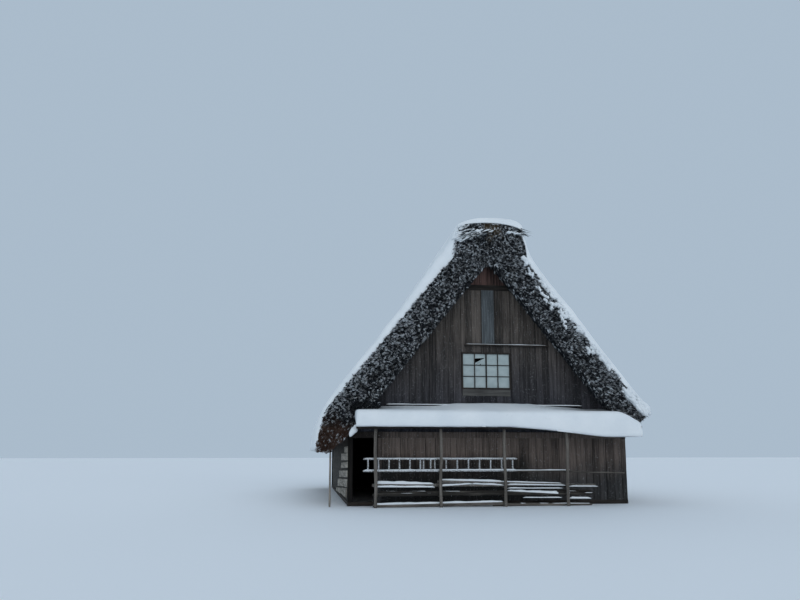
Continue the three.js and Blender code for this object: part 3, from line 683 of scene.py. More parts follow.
def build_thatch():
    sides = (("left", -1), ("right", 1))
    for (label, side), seed in zip(sides, (11, 21)):
        piece(f"thatch_plane_{label}", thatch_body(side, seed), THATCH, [f"thatch_{label}"], True)
    verge_ends = (("front", VERGE_FRONT, -1, 7200), ("back", VERGE_BACK - 0.1, 1, 2500))
    for end, y_face, facing, count in verge_ends:
        for label, side in sides:
            bunches = verge_tufts(side, y_face, facing, count, 31 + 10 * side + 5 * facing)
            piece(f"verge_reeds_{end}_{label}", bunches, THATCH)
    for label, side in sides:
        front = soffit_tufts(side, VERGE_FRONT, WALL_FRONT, 1400, 141 + side)
        back = soffit_tufts(side, WALL_BACK, VERGE_BACK - 0.05, 600, 151 + side)
        piece(f"soffit_reeds_{label}", joined([front, back]), THATCH)
    piece("eave_reeds_left", joined([eave_reeds(-1, 6500, 71), under_reeds(3500, 75)]), THATCH)
    piece("eave_reeds_right", eave_reeds(1, 6500, 81), THATCH)
    lower = ridge_layer(RIDGE_LOWER, RIDGE_SEAT, 91)
    upper = ridge_layer(RIDGE_UPPER, RIDGE_UPPER[0][1], 95)
    piece("ridge_layer_lower", lower, THATCH, ["ridge_thatch_lower"], True)
    piece("ridge_layer_upper", upper, RIDGE_THATCH, ["ridge_thatch_upper"], True)
    ridge_ends = (("front", RIDGE_FRONT, -1, 2300, 101), ("back", RIDGE_BACK - 0.06, 1, 1200, 111))
    for end, face, facing, count, seed in ridge_ends:
        lower_ends = ridge_tufts(RIDGE_LOWER, face, facing, count, seed)
        piece(f"ridge_reeds_{end}", lower_ends, THATCH)
        upper_ends = ridge_tufts(RIDGE_UPPER, face, facing, 700, seed + 3, 0.1)
        piece(f"ridge_cap_reeds_{end}", upper_ends, RIDGE_THATCH)
    hems = joined([hem_tufts(1.1, 7.16, 7.4, 850, 121, 0.2), hem_tufts(0.96, 7.98, 8.08, 380, 131, 0.14)])
    piece("ridge_hems", hems, THATCH)
    strays = joined([
        stray_reeds((-0.8, -0.12, 7.98), (-0.4, -0.05, 8.18), (-0.85, -0.35, -0.42), 34, 161, 0.3),
        stray_reeds((-0.85, -0.14, 7.66), (0.1, -0.06, 8.04), (-0.85, -0.3, -0.36), 80, 163, 0.34),
        stray_reeds((0.75, -0.08, 7.98), (0.95, 0.0, 8.12), (0.9, -0.1, -0.36), 14, 165, 0.42),
    ])
    piece("ridge_stray_reeds", strays, RIDGE_THATCH)
    piece("hanging_reeds_left", hanging_reeds(150, 171), THATCH)


# Snow


# Snow over the thatch: distance from the ridge line and height over the roof there
LEFT_SNOW = [(1.55, 0.68), (1.98, 0.66), (2.34, 0.57), (3.02, 0.51)]
LEFT_SNOW += [(3.48, 0.49), (4.36, 0.45), (4.79, 0.42)]
RIGHT_SNOW = [(1.22, 0.5), (1.54, 0.41), (1.9, 0.385), (2.67, 0.38), (3.41, 0.3), (4.59, 0.3)]
# The snow's steep skirt over the left eave and its lip over the right one, as distance and height
LEFT_SKIRT = [(4.93, 2.63), (5.03, 2.36), (5.08, 1.95), (5.093, 1.53)]
RIGHT_LIP = [(4.79, 2.9), (4.85, 2.8), (4.84, 2.71), (4.75, 2.635)]


def end_spacing(start, end, step, nose):
    """Depths from start to end, close together over a rounded nose at each end."""
    near = nose * np.array([0, 0.03, 0.1, 0.22, 0.38, 0.58, 0.8])
    middle = np.arange(start + nose, end - nose, step)
    return np.concatenate([start + near, middle, end - near[::-1]])


def nose_share(depth, start, end, nose):
    """How thick a bank of snow is near its ends: a quarter circle of radius nose at each."""
    near = np.clip(np.minimum(depth - start, end - depth) / nose, 0, 1)
    return np.sqrt(np.maximum(1 - (1 - near) ** 2, 0))


def snow_bank(side, top, under, seed, nose=0.16, swell=0.03, inset=0.0):
    """Snow on a roof plane: between its top line and the roof line, along the whole roof. Its
    thickness follows a quarter circle at both verges and noise of size swell in between."""
    rows = 56
    top_line, under_line = smooth_line(top, rows, 2), smooth_line(under, rows, 1)
    start, end = snow_low.y + inset, snow_high.y - inset
    depth = end_spacing(start, end, 0.14, nose)
    grid = columns(RIDGE_X + side * top_line[:, :1], depth, top_line[:, 1:])
    base = columns(RIDGE_X + side * under_line[:, :1], depth, under_line[:, 1:])
    base[..., 2] += verge_kerb(side, np.abs(base[..., 0] - RIDGE_X), grid[..., 1])
    share = 0.06 + 0.94 * nose_share(depth, start, end, nose)[None, :, None]
    waves = 4 * noise(grid, 1.1, seed) + 2 * noise(grid, 0.3, seed + 1, 2)
    lifted = base + (grid - base) * share * (1 + swell * (waves[..., None] - 3))
    lifted[..., 1] = depth
    return slab(lifted, base)


def left_bank():
    """The thick snow of the left slope, down over its steep skirt."""
    top = [(1.08, 7.93), (1.17, 7.82), (1.26, 7.62)]
    top += [(x, outer_roof(x) + rise) for x, rise in LEFT_SNOW] + LEFT_SKIRT
    under = [(0.98, 7.85), (1.05, 7.3), (1.2, outer_roof(1.2) - 0.03)]
    under += [(EAVE_BREAK, outer_roof(EAVE_BREAK) - 0.03), (5.03, 1.53)]
    return snow_bank(-1, top, under, 201, inset=0.05)


def right_bank():
    """The thinner snow of the right slope: up the cap's side at the top, and over the eave below."""
    top = [(1.04, 7.99), (1.1, 7.87), (1.165, 7.65)]
    top += [(x, outer_roof(x) + rise) for x, rise in RIGHT_SNOW] + RIGHT_LIP
    under = [(0.97, 7.93), (1.03, 7.75), (1.1, 7.5), (1.12, 7.2), (1.12, outer_roof(1.12) - 0.03)]
    under += [(2.9, outer_roof(2.9) - 0.03), (4.66, outer_roof(4.66) - 0.02)]
    return snow_bank(1, top, under, 211, 0.13)


def ridge_bank():
    """Snow over the ridge cap: over its crown and down its left shoulder onto the lower layer."""
    top = [(-1.045, 7.95), (-1.06, 8.25), (-0.9, 8.39), (-0.58, 8.46), (-0.1, 8.48), (0.45, 8.43)]
    top += [(0.85, 8.29), (1.02, 8.17), (1.08, 8.02), (1.15, 7.86), (1.165, 7.72)]
    under = [(-0.98, 7.97), (-0.96, 8.11), (-0.62, 8.23), (0, 8.28), (0.62, 8.23), (0.96, 8.12)]
    under += [(0.98, 8.02), (0.92, 7.955), (1.035, 7.755)]
    return snow_bank(1, [(-x, z) for x, z in top], [(-x, z) for x, z in under], 221, 0.12, 0.02)


# Section of the pent roof's snow: forward of the wall, height, how much of the sag to the right
# it takes, and how far it has come down at the right end, where the snow thins out
PENT_SECTION = [
    (-0.015, 2.915, 0.0, 0.165),
    (0.3, 2.84, 0.0, 0.215),
    (0.7, 2.735, 0.0, 0.285),
    (0.96, 2.65, 0.0, 0.315),
    (1.05, 2.57, 0.17, 0.25),
    (1.08, 2.4, 0.5, 0.09),
    (1.07, 2.24, 1.0, 0.0),
    (1.03, 2.185, 1.0, 0.0),
]
PENT_SAG = 0.26
# The snow's underside on the pent roof's deck and round its edge: forward of the wall, height
PENT_FOOT = [(-0.01, 2.612), (1.021, 2.604 - 0.37 / 1.02 * 1.021), (1.02, 2.19)]
# How far the snow has sunk at the wall, and how much painted shade greys its top, by distance from the ridge
# line
PENT_HOLLOW_AT = [-4.1, -3.2, -1.6, -1.0, 1.2, 2.0, 2.9, 3.5]
PENT_HOLLOW = [1.3, 1.1, 0.9, 0.0, 0.0, 0.9, 1.6, 1.6]
PENT_SHADE_AT = [-3.6, -3.2, -2.6, -1.2, 0.8, 1.5, 2.2, 2.8, 3.6]
PENT_SHADE = [1.0, 0.85, 0.5, 0.12, 0.1, 0.4, 0.6, 0.95, 1.0]


def pent_bank():
    """Snow on the pent roof: its section carried along the front, with its lip sagging to the
    right and its top coming down at the right end, rounded at both ends. Near both ends it has
    sunk a little where it meets the wall. Its top is painted grey as shade under the thatch and
    the gable wall, most next to the wall and towards both ends, and a faint band of painted
    shade lies across the upper part of its face."""
    forward, height, sag_share, fall = smooth_line(PENT_SECTION, 40, 2).T[..., None]
    base_forward, base_height = spaced(PENT_FOOT, 40).T[..., None]
    base_fall = np.interp(base_height, [2.19, 2.25], [1.0, 0.0])
    nose = 0.12
    width = end_spacing(pent_low.x, pent_high.x, 0.08, nose)
    away = width - RIDGE_X
    sag = PENT_SAG * np.clip((away - 0.3) / 2.7, 0, 1) ** 1.3
    thinned = np.clip((away - 3.5) / 0.69, 0, 1) ** 1.5
    grid = columns(width, WALL_FRONT - forward, height - sag_share * sag - fall * thinned)
    base = columns(width, WALL_FRONT - base_forward, base_height - base_fall * sag)
    share = 0.75 + 0.25 * nose_share(width, pent_low.x, pent_high.x, nose)[:, None]
    lifted = base + (grid - base) * share
    lifted[..., 0] = width
    lifted[..., 2] += 0.014 * noise(grid, 0.6, 231) * share[:, 0]
    lifted[..., 1] += 0.01 + 0.01 * noise(grid, 0.35, 233) * share[:, 0]
    hollow = np.interp(away, PENT_HOLLOW_AT, PENT_HOLLOW)
    lifted[..., 2] -= 0.09 * hollow * np.interp(forward, [0.0, 0.3, 0.7, 0.93], [1.0, 0.9, 0.5, 0.0])
    # Painted shade: the top greys near the wall and towards both ends, and a faint band darkens the upper
    # part of the face
    top_painted_shade = np.interp(height, [2.64, 2.7, 2.8, 2.9], [0.0, 0.5, 1.0, 0.85])
    face_painted_shade = np.interp(height, [2.3, 2.38, 2.46, 2.6, 2.66], [0.08, 0.0, 0.14, 0.12, 0.0])
    tint = 0.5 * (1 - np.clip(np.interp(away, PENT_SHADE_AT, PENT_SHADE) * top_painted_shade + face_painted_shade, 0, 1))
    return slab(lifted, base, np.concatenate([tint.ravel(), np.full(tint.size, 0.5)]))


def snow_lumps(centres, sizes, turns, seed):
    """Lumps of snow: balls stretched to their half sizes, turned about Y and dented by noise."""
    rows, sides = 6, 9
    centres, sizes, turns = (np.asarray(part, float) for part in (centres, sizes, turns))
    polar = np.linspace(0.25, math.pi - 0.25, rows)[:, None]
    angle = np.arange(sides) * 2 * math.pi / sides
    ball = columns(np.sin(polar) * np.cos(angle), np.sin(polar) * np.sin(angle), np.cos(polar))
    x, y, z = np.moveaxis(ball * sizes[:, None, None], -1, 0)
    cosine, sine = np.cos(turns)[:, None, None], np.sin(turns)[:, None, None]
    around = columns(x * cosine + z * sine, y, z * cosine - x * sine)
    middle = centres[:, None, None]
    return tube(middle + around * (1 + 0.45 * noise(middle + around, 0.07, seed, 2))[..., None])


def verge_lumps():
    """Snow caught in the right verge: lumps drawn out along the slope, in a band under the top
    edge. The band's width changes along the slope, and noise bunches the lumps in it. Bigger ones
    lie close together on the eave's corner."""
    rng = default_rng(301)
    count, extra = 1150, 70
    along = rng.uniform(0.15, 1.0, count)
    places = [0.15, 0.24, 0.4, 0.62, 0.7, 0.77, 0.85, 1.0]
    width = np.interp(along, places, [0.1, 0.3, 0.5, 0.42, 0.14, 0.16, 0.32, 0.3])
    across = 1.03 - width * rng.random(count) ** 1.4
    kept = noise(columns(along * 7, across * 1.6, 0), 0.22, 303, 2) > 0.0
    along, across, count = along[kept], across[kept], int(kept.sum())
    x, z = thatch_at(1, along, across)
    centres = columns(x, VERGE_FRONT - rng.uniform(0.02, 0.08, count), z)
    long_half = rng.uniform(0.025, 0.085, count) * (0.5 + 0.5 * across)
    sizes = columns(long_half, rng.uniform(0.04, 0.08, count), long_half * rng.uniform(0.35, 0.6, count))
    x, z = thatch_at(1, rng.uniform(0.87, 0.99, extra), rng.uniform(0.8, 1.04, extra))
    corner = columns(x, VERGE_FRONT - rng.uniform(0.04, 0.09, extra), z)
    corner_sizes = rng.uniform((0.08, 0.06, 0.04), (0.14, 0.09, 0.065), (extra, 3))
    turns = math.atan(ROOF_RISE) + rng.normal(scale=0.35, size=count + extra)
    return snow_lumps(np.concatenate([centres, corner]), np.concatenate([sizes, corner_sizes]), turns, 305)


def ridge_shelf_lumps():
    """Snow on the step between the ridge's two layers: a wedge of slanting lumps on the left that
    thins towards the middle, a thin row on the right, and lumps hung on the left shoulder."""
    rng = default_rng(311)
    wedge, row, shoulder = 90, 9, 16
    share = rng.random(wedge) ** 1.3
    top = np.interp(share, [0, 0.35, 0.7, 1], [7.93, 8.02, 8.03, 8.01])
    bottom = np.interp(share, [0, 1], [7.6, 7.99])
    height = top - (top - bottom) * rng.random(wedge) ** 1.3
    left = columns(-1.02 + 1.05 * share, rng.uniform(-0.05, 0.0, wedge), height)
    left_sizes = columns(rng.uniform(0.05, 0.11, wedge), 0.08, rng.uniform(0.02, 0.04, wedge))
    right_share = np.linspace(0, 1, row)
    right = columns(0.55 + 0.42 * right_share, -0.02, 7.99 - 0.03 * right_share)
    end = rng.random(shoulder)
    end_y = rng.uniform(-0.08, -0.02, shoulder)
    end = columns(-1.0 + 0.34 * end, end_y, 8.16 - 0.16 * rng.random(shoulder))
    end_sizes = rng.uniform([0.03, 0.03, 0.02], [0.09, 0.06, 0.045], (shoulder, 3))
    centres = np.concatenate([left, right, end])
    centres += rng.normal(scale=0.008, size=centres.shape) + np.array([RIDGE_X, VERGE_FRONT, 0])
    sizes = np.concatenate([left_sizes, np.tile([0.05, 0.07, 0.028], (row, 1)), end_sizes])
    return snow_lumps(centres, sizes, np.repeat([-0.36, 0.0, -0.45], (wedge, row, shoulder)), 313)


def snow_strip(start, end, width, height, seed, gaps=0.0, taper=1.0):
    """Snow lying along a pole: a half-round ridge over a flat foot, its size heaved by noise,
    pinched out where the noise falls under gaps, and changed to the share taper by its end."""
    start, end = np.array(start, float), np.array(end, float)
    length = np.linalg.norm(end - start)
    rows = max(int(length / 0.045), 8)
    share = np.linspace(0, 1, rows)
    path = start + (end - start) * share[:, None]
    size = (0.8 + 0.45 * noise(path, 0.35, seed, 3)) * (1 + (taper - 1) * share)
    size = size * np.clip((noise(path, 0.5, seed + 1, 2) - gaps + 1.0) * 3, 0.02, 1)
    size = (size * np.clip(np.minimum(share, 1 - share) * length / 0.08, 0.05, 1))[:, None, None]
    angle = np.linspace(0, math.pi, 7)[:, None]
    across = unit(np.cross(end - start, [0, 0, 1.0]))
    over = np.cos(angle) * (width / 2) * np.sqrt(size) * across
    over = over + np.sin(angle) * height * size * np.array([0, 0, 1.0])
    foot = path - np.array([0, 0, 0.012])
    return tube(np.concatenate([path[:, None] + over, foot[:, None]], 1))


def snow_piece(name, parts, *stands_for):
    """Adds a form of settled snow."""
    piece(name, parts, SNOW, stands_for, True)


def build_snow():
    snow_piece("snow_bank_left", left_bank(), "snow_left_slope")
    snow_piece("snow_bank_right", right_bank(), "snow_right_slope")
    snow_piece("snow_bank_ridge", ridge_bank(), "snow_ridge")
    snow_piece("snow_bank_pent", pent_bank(), "snow_pent_roof")
    snow_piece("snow_in_right_verge", verge_lumps())
    snow_piece("snow_on_ridge_front", ridge_shelf_lumps())


# Boards and timbers


BOARD_THICKNESS, BOARD_CHAMFER, BOARD_GAP, LAP = 0.028, 0.004, 0.012, 0.02
WALL_BOARD_WIDTH, GABLE_BOARD_WIDTH, PEAK_BOARD_WIDTH = 0.24, 0.23, 0.2
# Depths into the gable wall of its boards' face and of its backing's two faces
GABLE_SETBACK, GABLE_BACKING = 0.022, (0.048, 0.074)


def board(x0, x1, low, high, front, thickness, seed, tint):
    """An upright board: x0 to x1, from the heights low to the heights high at its two edges. Its
    edges wander, its face cups by a shallow arc and its surface follows long waves of noise."""
    share, up = np.linspace(0, 1, 5), np.linspace(0, 1, 14)[:, None]
    bottom, top = (ends[0] + (ends[1] - ends[0]) * share for ends in (low, high))
    grid = columns(x0 + (x1 - x0) * share, front, bottom + (top - bottom) * up)
    cup = default_rng(seed).uniform(-0.006, 0.006) * (1 - (2 * share - 1) ** 2)
    grid[..., 1] += cup + 0.003 * noise(grid, 0.7, seed, 2)
    off_middle = np.abs(share - 0.5)
    grid[..., 0] += 0.004 * noise(grid, 0.5, seed + 1, 2) * (1 - 2 * off_middle + (off_middle > 0.49))
    back = grid.copy()
    back[..., 1] = front + thickness
    grid[:, [0, -1], 1] += np.sign(thickness) * BOARD_CHAMFER
    return slab(grid, back, tint)


def board_edges(left, right, breaks, width, rng):
    """Edges of boards of random width between left and right, which always fall on the breaks."""
    stops = [left, *sorted(stop for stop in breaks if left < stop < right), right]
    edges = []
    for start, end in zip(stops, stops[1:]):
        parts = rng.uniform(0.75, 1.25, max(int(round((end - start) / width)), 1))
        cuts = start + (end - start) * np.cumsum(parts) / parts.sum()
        edges += zip([start, *cuts], cuts)
    return edges


def clear_spans(x0, x1, low, high, holes):
    """What the holes leave of a column from x0 to x1: lower and upper heights, each as a pair for
    its two sides. A hole is given as (x0, x1, z0, z1)."""
    bottom, top = (low(x0), low(x1)), (high(x0), high(x1))
    for left, right, z0, z1 in holes:
        if x1 > left + 1e-6 and x0 < right - 1e-6:
            return [(bottom, (z0, z0)), ((z1, z1), top)]
    return [(bottom, top)]


def boarding(edges, low, high, front, thickness, seed, holes=()):
    """Upright boards over edges, between the heights low(x) and high(x), cut round the holes."""
    rng = default_rng(seed)
    boards = []
    for i, (x0, x1) in enumerate(edges):
        a, b = x0 + BOARD_GAP / 2, x1 - BOARD_GAP / 2
        for bottom, top in clear_spans(a, b, low, high, holes):
            step = rng.uniform(-0.005, 0.005)
            boards.append(board(a, b, bottom, top, front + step, thickness, seed + 7 * i, rng.random()))
    return boards


def panel(x0, x1, y0, y1, low, high, holes=()):
    """A thin backing between y0 and y1, in columns that leave the holes open."""
    stops = {x0, x1, RIDGE_X, *(stop for hole in holes for stop in hole[:2])}
    stops = sorted(stop for stop in stops if x0 <= stop <= x1)
    parts = []
    for a, b in zip(stops, stops[1:]):
        for span in clear_spans(a, b, low, high, holes):
            near, far = (columns([[a], [b]], y, np.transpose(span)) for y in (y0, y1))
            parts.append(slab(near, far, 0.1))
    return parts


def squared(low, high, cut, rows, tint, seed=0, inset=0.0):
    """A squared timber in the box from low to high: a section with cut corners, carried along the
    box's longest side, its faces drawn in by noise of size inset."""
    low, high = np.array(low), np.array(high)
    half = (high - low) / 2
    axis = int(np.argmax(half))
    u, v = (i for i in range(3) if i != axis)
    a, b, c, d = half[u], half[v] - cut, half[u] - cut, half[v]
    section = [(a, b), (c, d), (-c, d), (-a, b), (-a, -b), (-c, -d), (c, -d), (a, -b)]
    away = np.zeros((rows, len(section), 3))
    away[..., [u, v]] = section
    rings = (low + high) / 2 + away
    rings[..., axis] = np.linspace(low[axis], high[axis], rows)[:, None]
    rings += unit(away) * (inset * (noise(rings, 0.3, seed, 3) - 1))[..., None]
    return tube(rings, tint)


def hewn(node, tint, seed):
    """A hewn timber in the box of a CAD node."""
    low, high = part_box(node)
    size = np.subtract(high, low)
    cut, rows = min(0.012, 0.2 * size.min()), max(int(size.max() / 0.16), 5)
    return squared(low, high, cut, rows, tint, seed, 0.004)


def bar(x, y, z, tint=0.4):
    """A plain bar with its long edges cut, between the two places given for each axis."""
    return squared(*zip(x, y, z), 0.003, 4, tint)


def gable_top(x):
    """Height of the gable's boards: the thatch's underside, up to the collar beam."""
    return np.minimum(inner_roof(x - RIDGE_X) - 0.002, collar_low.z)


def peak_top(x):
    """Height of the peak's boards: just under the thatch's underside, and never below the collar."""
    return max(inner_roof(x - RIDGE_X) - 0.004, collar_high.z + 0.002)


def level(z):
    """The same height everywhere, as a function of x."""
    return lambda x: z


def build_gable(end, face, inwards, seed):
    """One gable: boards and backing with the window's hole, and the boards of its peak."""
    rng = default_rng(seed)
    left, right = front_post_high.x, back_post_low.x
    hole = (window_low.x, window_high.x, window_low.z, window_high.z)
    half_top = (INNER_APEX - collar_low.z) / ROOF_RISE
    crown = [RIDGE_X - half_top, RIDGE_X + half_top]
    edges = board_edges(left, right, [*hole[:2], *crown], GABLE_BOARD_WIDTH, rng)
    front, foot = face + inwards * GABLE_SETBACK, level(GIRT_TOP - LAP)
    parts = boarding(edges, foot, gable_top, front, inwards * BOARD_THICKNESS, seed, [hole])
    behind = [face + inwards * depth for depth in GABLE_BACKING]
    stops = (left - LAP, *crown, right + LAP)
    for a, b in zip(stops, stops[1:]):
        parts += panel(a, b, *behind, foot, gable_top, [hole])
    piece(f"gable_boards_{end}", joined(parts), BOARDS, [f"gable_wall_{end}"])
    peak_half = (INNER_APEX - collar_high.z) / ROOF_RISE - 0.003
    peak_ends = (RIDGE_X - peak_half, RIDGE_X + peak_half)
    peak_edges = board_edges(*peak_ends, [RIDGE_X], PEAK_BOARD_WIDTH, rng)
    peak = boarding(peak_edges, level(collar_high.z), peak_top, front, inwards * 0.05, seed + 3)
    piece(f"peak_boards_{end}", joined(peak), RED_BOARDS, [f"gable_peak_{end}"])


def paper_pane(x0, x1, z0, z1, y, seed):
    """One pane of paper: a thin sheet that bellies a little by the product of two sines."""
    u, v = np.linspace(0, 1, 9), np.linspace(0, 1, 9)[:, None]
    grid = columns(x0 + (x1 - x0) * u, y, z0 + (z1 - z0) * v)
    belly = np.sin(math.pi * u) * np.sin(math.pi * v)
    grid[..., 1] += 0.006 * belly * noise(grid + seed, 0.3, seed, 2)
    return slab(grid, grid + np.array([0, 0.002, 0]))


def torn_pane(x0, x1, z0, z1, y):
    """The torn pane: its outline with a wedge missing from the left bar and a nick below it,
    and the torn flap curled out under the wedge."""
    wide, tall = x1 - x0, z1 - z0
    outline = [(0, 0), (0.42, 0), (0.5, 0.13), (0.6, 0.02), (0.66, 0), (1, 0), (1, 1), (0, 1), (0, 0.6)]
    outline += [(0.3, 0.62), (0.93, 0.66), (0.6, 0.5), (0.32, 0.33), (0.05, 0.2), (0, 0.24)]
    across, up = np.transpose(outline)
    near = columns(x0 + wide * across, y, z0 + tall * up)
    order, count = np.arange(len(outline)), len(outline)
    faces = [order[None], order[None, ::-1] + count, rim_walls(order, count)]
    sheet = form(np.concatenate([near, near + np.array([0, 0.002, 0])]), faces)
    u, v = np.linspace(0, 1, 7), np.linspace(0, 1, 6)[:, None]
    curl = columns(
        x0 + wide * (0.05 + 0.5 * u * (1 - 0.25 * v)),
        y - 0.004 - 0.03 * np.sin(1.4 * v),
        z0 + tall * (0.2 + 0.28 * u - 0.17 * v),
    )
    return joined([sheet, slab(curl, curl + np.array([0, 0.0015, 0.0015]))])


WINDOW_FRAME, PANE_COLUMNS, PANE_ROWS = 0.045, 4, 3
TORN_PANE = (1, 2)
# Half widths of the upright bars, from left to right, and of the level ones
UPRIGHT_BARS, LEVEL_BAR = (0.013, 0.02, 0.013), 0.011
# Depths into the wall of the window's parts
FRAME_DEPTHS, UPRIGHT_DEPTHS, LEVEL_DEPTHS = (0, 0.075), (0.012, 0.038), (0.014, 0.036)
SILL_DEPTHS, SHEET_DEPTH = (0.004, 0.03), 0.041


def build_window(end, outside, inwards, torn):
    """A papered window: four frame members, bars crossing them, and a sheet behind each opening."""
    low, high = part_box(f"window_{end}")
    left, right = low.x + WINDOW_FRAME, high.x - WINDOW_FRAME
    bottom, top = low.z + WINDOW_FRAME, high.z - WINDOW_FRAME
    column, row = (right - left) / PANE_COLUMNS, (top - bottom) / PANE_ROWS

    def inside(depths):
        """Two depths into the wall as places along Y, the smaller first."""
        return sorted(outside + inwards * depth for depth in depths)

    frame_y = inside(FRAME_DEPTHS)
    members = [bar(ends, frame_y, (low.z, high.z)) for ends in ((low.x, left), (right, high.x))]
    members += [bar((left, right), frame_y, ends) for ends in ((low.z, bottom), (top, high.z))]
    for i, half in enumerate(UPRIGHT_BARS, 1):
        middle = left + i * column
        members.append(bar((middle - half, middle + half), inside(UPRIGHT_DEPTHS), (bottom, top), 0.2))
    for j in range(1, PANE_ROWS):
        ends = (bottom + j * row - LEVEL_BAR, bottom + j * row + LEVEL_BAR)
        members.append(bar((left, right), inside(LEVEL_DEPTHS), ends, 0.2))
    piece(f"window_bars_{end}", joined(members), TIMBER)
    sill = bar((low.x + 0.03, high.x - 0.03), inside(SILL_DEPTHS), (low.z - 0.2, low.z - 0.004), 0.75)
    piece(f"window_sill_board_{end}", sill, SILL_BOARD)
    sheets = []
    y = outside + inwards * SHEET_DEPTH
    for i in range(PANE_COLUMNS):
        for j in range(PANE_ROWS):
            spot = (left + i * column, left + (i + 1) * column, bottom + j * row, bottom + (j + 1) * row)
            is_torn = torn and (i, j) == TORN_PANE
            sheets.append(torn_pane(*spot, y) if is_torn else paper_pane(*spot, y, 401 + 7 * i + j))
    piece(f"window_sheets_{end}", joined(sheets), PAPER, [f"window_{end}"])


def wall_backing(start, end, near, far):
    """The backing of a wall, lapping over the timbers round it."""
    return panel(start - LAP, end + LAP, near, far, level(SILL_TOP - LAP), level(POST_TOP + LAP))


def boarded_wall(start, end, outside, inside, seed, rng):
    """A wall of upright boards from start to end, with its backing, between two places along Y."""
    inwards = math.copysign(1, inside - outside)
    edges = board_edges(start, end, [], WALL_BOARD_WIDTH, rng)
    front, thickness = outside - inwards * 0.003, inwards * BOARD_THICKNESS
    boards = boarding(edges, level(SILL_TOP - LAP), level(POST_TOP + LAP), front, thickness, seed)
    return joined(boards + wall_backing(start, end, *sorted((outside + inwards * 0.03, inside))))


def turned(parts):
    """A form built facing -Y, turned to stand along Y: x and y change places."""
    points, faces, tint, frost = parts
    return points[:, [1, 0, 2]], [face[:, ::-1] for face in faces], tint, frost


# Bleached planks on the left wall: distance back from the front wall of their two ends, and
# heights of the lower and the upper edge at those ends. The lowest one has slipped at the front.
SIDE_PLANKS = [
    (0.66, 6.6, (0.21, 0.1), (0.47, 0.21)),
    (0.2, 5.45, (0.53, 0.32), (0.74, 0.56)),
    (0.1, 4.5, (0.8, 0.66), (0.98, 0.87)),
    (0.02, 3.3, (1.07, 0.99), (1.23, 1.16)),
    (0.02, 3.4, (1.27, 1.23), (1.46, 1.44)),
    (0.02, 1.66, (1.49, 1.49), (1.67, 1.66)),
]
SIDE_ROWS = 7


def level_plank(y0, y1, lows, highs, outside, thickness, seed, tint):
    """A level plank on the left wall from y0 to y1: its lower and upper edges run between the
    two heights given for each, wander by noise, and its back end is ragged."""
    along, up = np.linspace(0, 1, max(int((y1 - y0) / 0.2), 5))[:, None], np.linspace(0, 1, 5)
    y = y0 + (y1 - y0 + 0.22 * noise(columns(up, 0, seed), 0.3, seed, 2)) * along
    low, high = (ends[0] + (ends[1] - ends[0]) * along for ends in (lows, highs))
    z = low + (high - low) * up + 0.014 * noise(columns(y, seed, 0), 1.1, seed + 1, 2)
    grid = columns(outside + 0.008 * up + 0.003 * noise(columns(y, z, 0), 0.4, seed + 2, 2), y, z)
    return slab(grid, grid + np.array([thickness, 0, 0]), tint)


def bleached_planks():
    """The wide bleached planks over the front part of the left wall, with open joints."""
    planks = []
    for j, (y0, y1, lows, highs) in enumerate(SIDE_PLANKS):
        places = (WALL_FRONT + y0, WALL_FRONT + y1, lows, highs, front_post_low.x - 0.008)
        planks.append(level_plank(*places, 0.034, 811 + 9 * j, 0.35 + 0.07 * j))
    return planks


def side_wall_rows(low, high):
    """The dark level boards behind the bleached planks, over the whole left wall."""
    height = (POST_TOP - SILL_TOP) / SIDE_ROWS
    boards = []
    for j in range(SIDE_ROWS):
        bottom = SILL_TOP + height * j
        lows, highs = (bottom, bottom), (bottom + height * 0.97, bottom + height * 0.97)
        places = (low.y, high.y - 0.1, lows, highs, low.x + 0.022)
        boards.append(level_plank(*places, 0.02, 911 + 9 * j, 0.3 + 0.06 * j))
    return boards


def build_walls():
    rng = default_rng(501)
    low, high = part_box("front_wall")
    points, faces, tint, frost = boarded_wall(low.x, high.x, low.y, high.y, 503, rng)
    away = points[:, 0] - RIDGE_X
    behind_ladders = np.clip((1.42 - points[:, 2]) / 0.14, 0, 1) * np.clip((1.1 - away) / 0.3, 0, 1)
    shade = np.interp(away, [-3.3, -1.6, 0.4, 2.0, 2.8], [0.8, 0.65, 0.45, 0.3, 0.0])
    front = (points, faces, tint + shade - (0.7 + shade) * behind_ladders, frost)
    piece("front_wall_boards", front, WALL_BOARDS, ["front_wall"])
    low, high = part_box("back_wall")
    back = boarded_wall(low.x, high.x, high.y, low.y, 603, rng)
    piece("back_wall_boards", back, WALL_BOARDS, ["back_wall"])
    low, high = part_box("right_wall")
    right = turned(boarded_wall(low.y, high.y, high.x, low.x, 703, default_rng(702)))
    piece("right_wall_boards", right, WALL_BOARDS, ["right_wall"])
    low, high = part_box("left_wall")
    piece("left_wall_planks", joined(bleached_planks()), SIDE_BOARDS, ["left_wall"])
    backing = [turned(part) for part in wall_backing(low.y, high.y, low.x + 0.04, high.x)]
    piece("left_wall_rows", joined(side_wall_rows(low, high) + backing), SIDE_WALL)


HEWN_TIMBERS = (
    (ACROSS_TIMBER, ("sill_front", "sill_back", "girt_back", "gable_ledge")),
    (WALL_BOARDS, ("girt_front", "corner_post_front_right", "door_post")),
    (ALONG_TIMBER, ("sill_left", "sill_right")),
    (TIMBER, ("corner_post_front_left", "corner_post_back_left", "corner_post_back_right")),
)
# Solids that are shown as they are
PLAIN_SOLIDS = (
    (ACROSS_TIMBER, ("loft_floor", "gable_collar_front", "gable_collar_back", "pent_roof_deck")),
    (ALONG_TIMBER, ("wall_plate_left", "wall_plate_right", "left_eave_log")),
    (BEAM_WOOD, ("pent_roof_beam",)),
)
BATTEN_LOW = (RIDGE_X - 3.05, WALL_FRONT - 0.03, 2.84)
BATTEN_HIGH = (RIDGE_X + 2.8, WALL_FRONT + 0.02, 2.865)


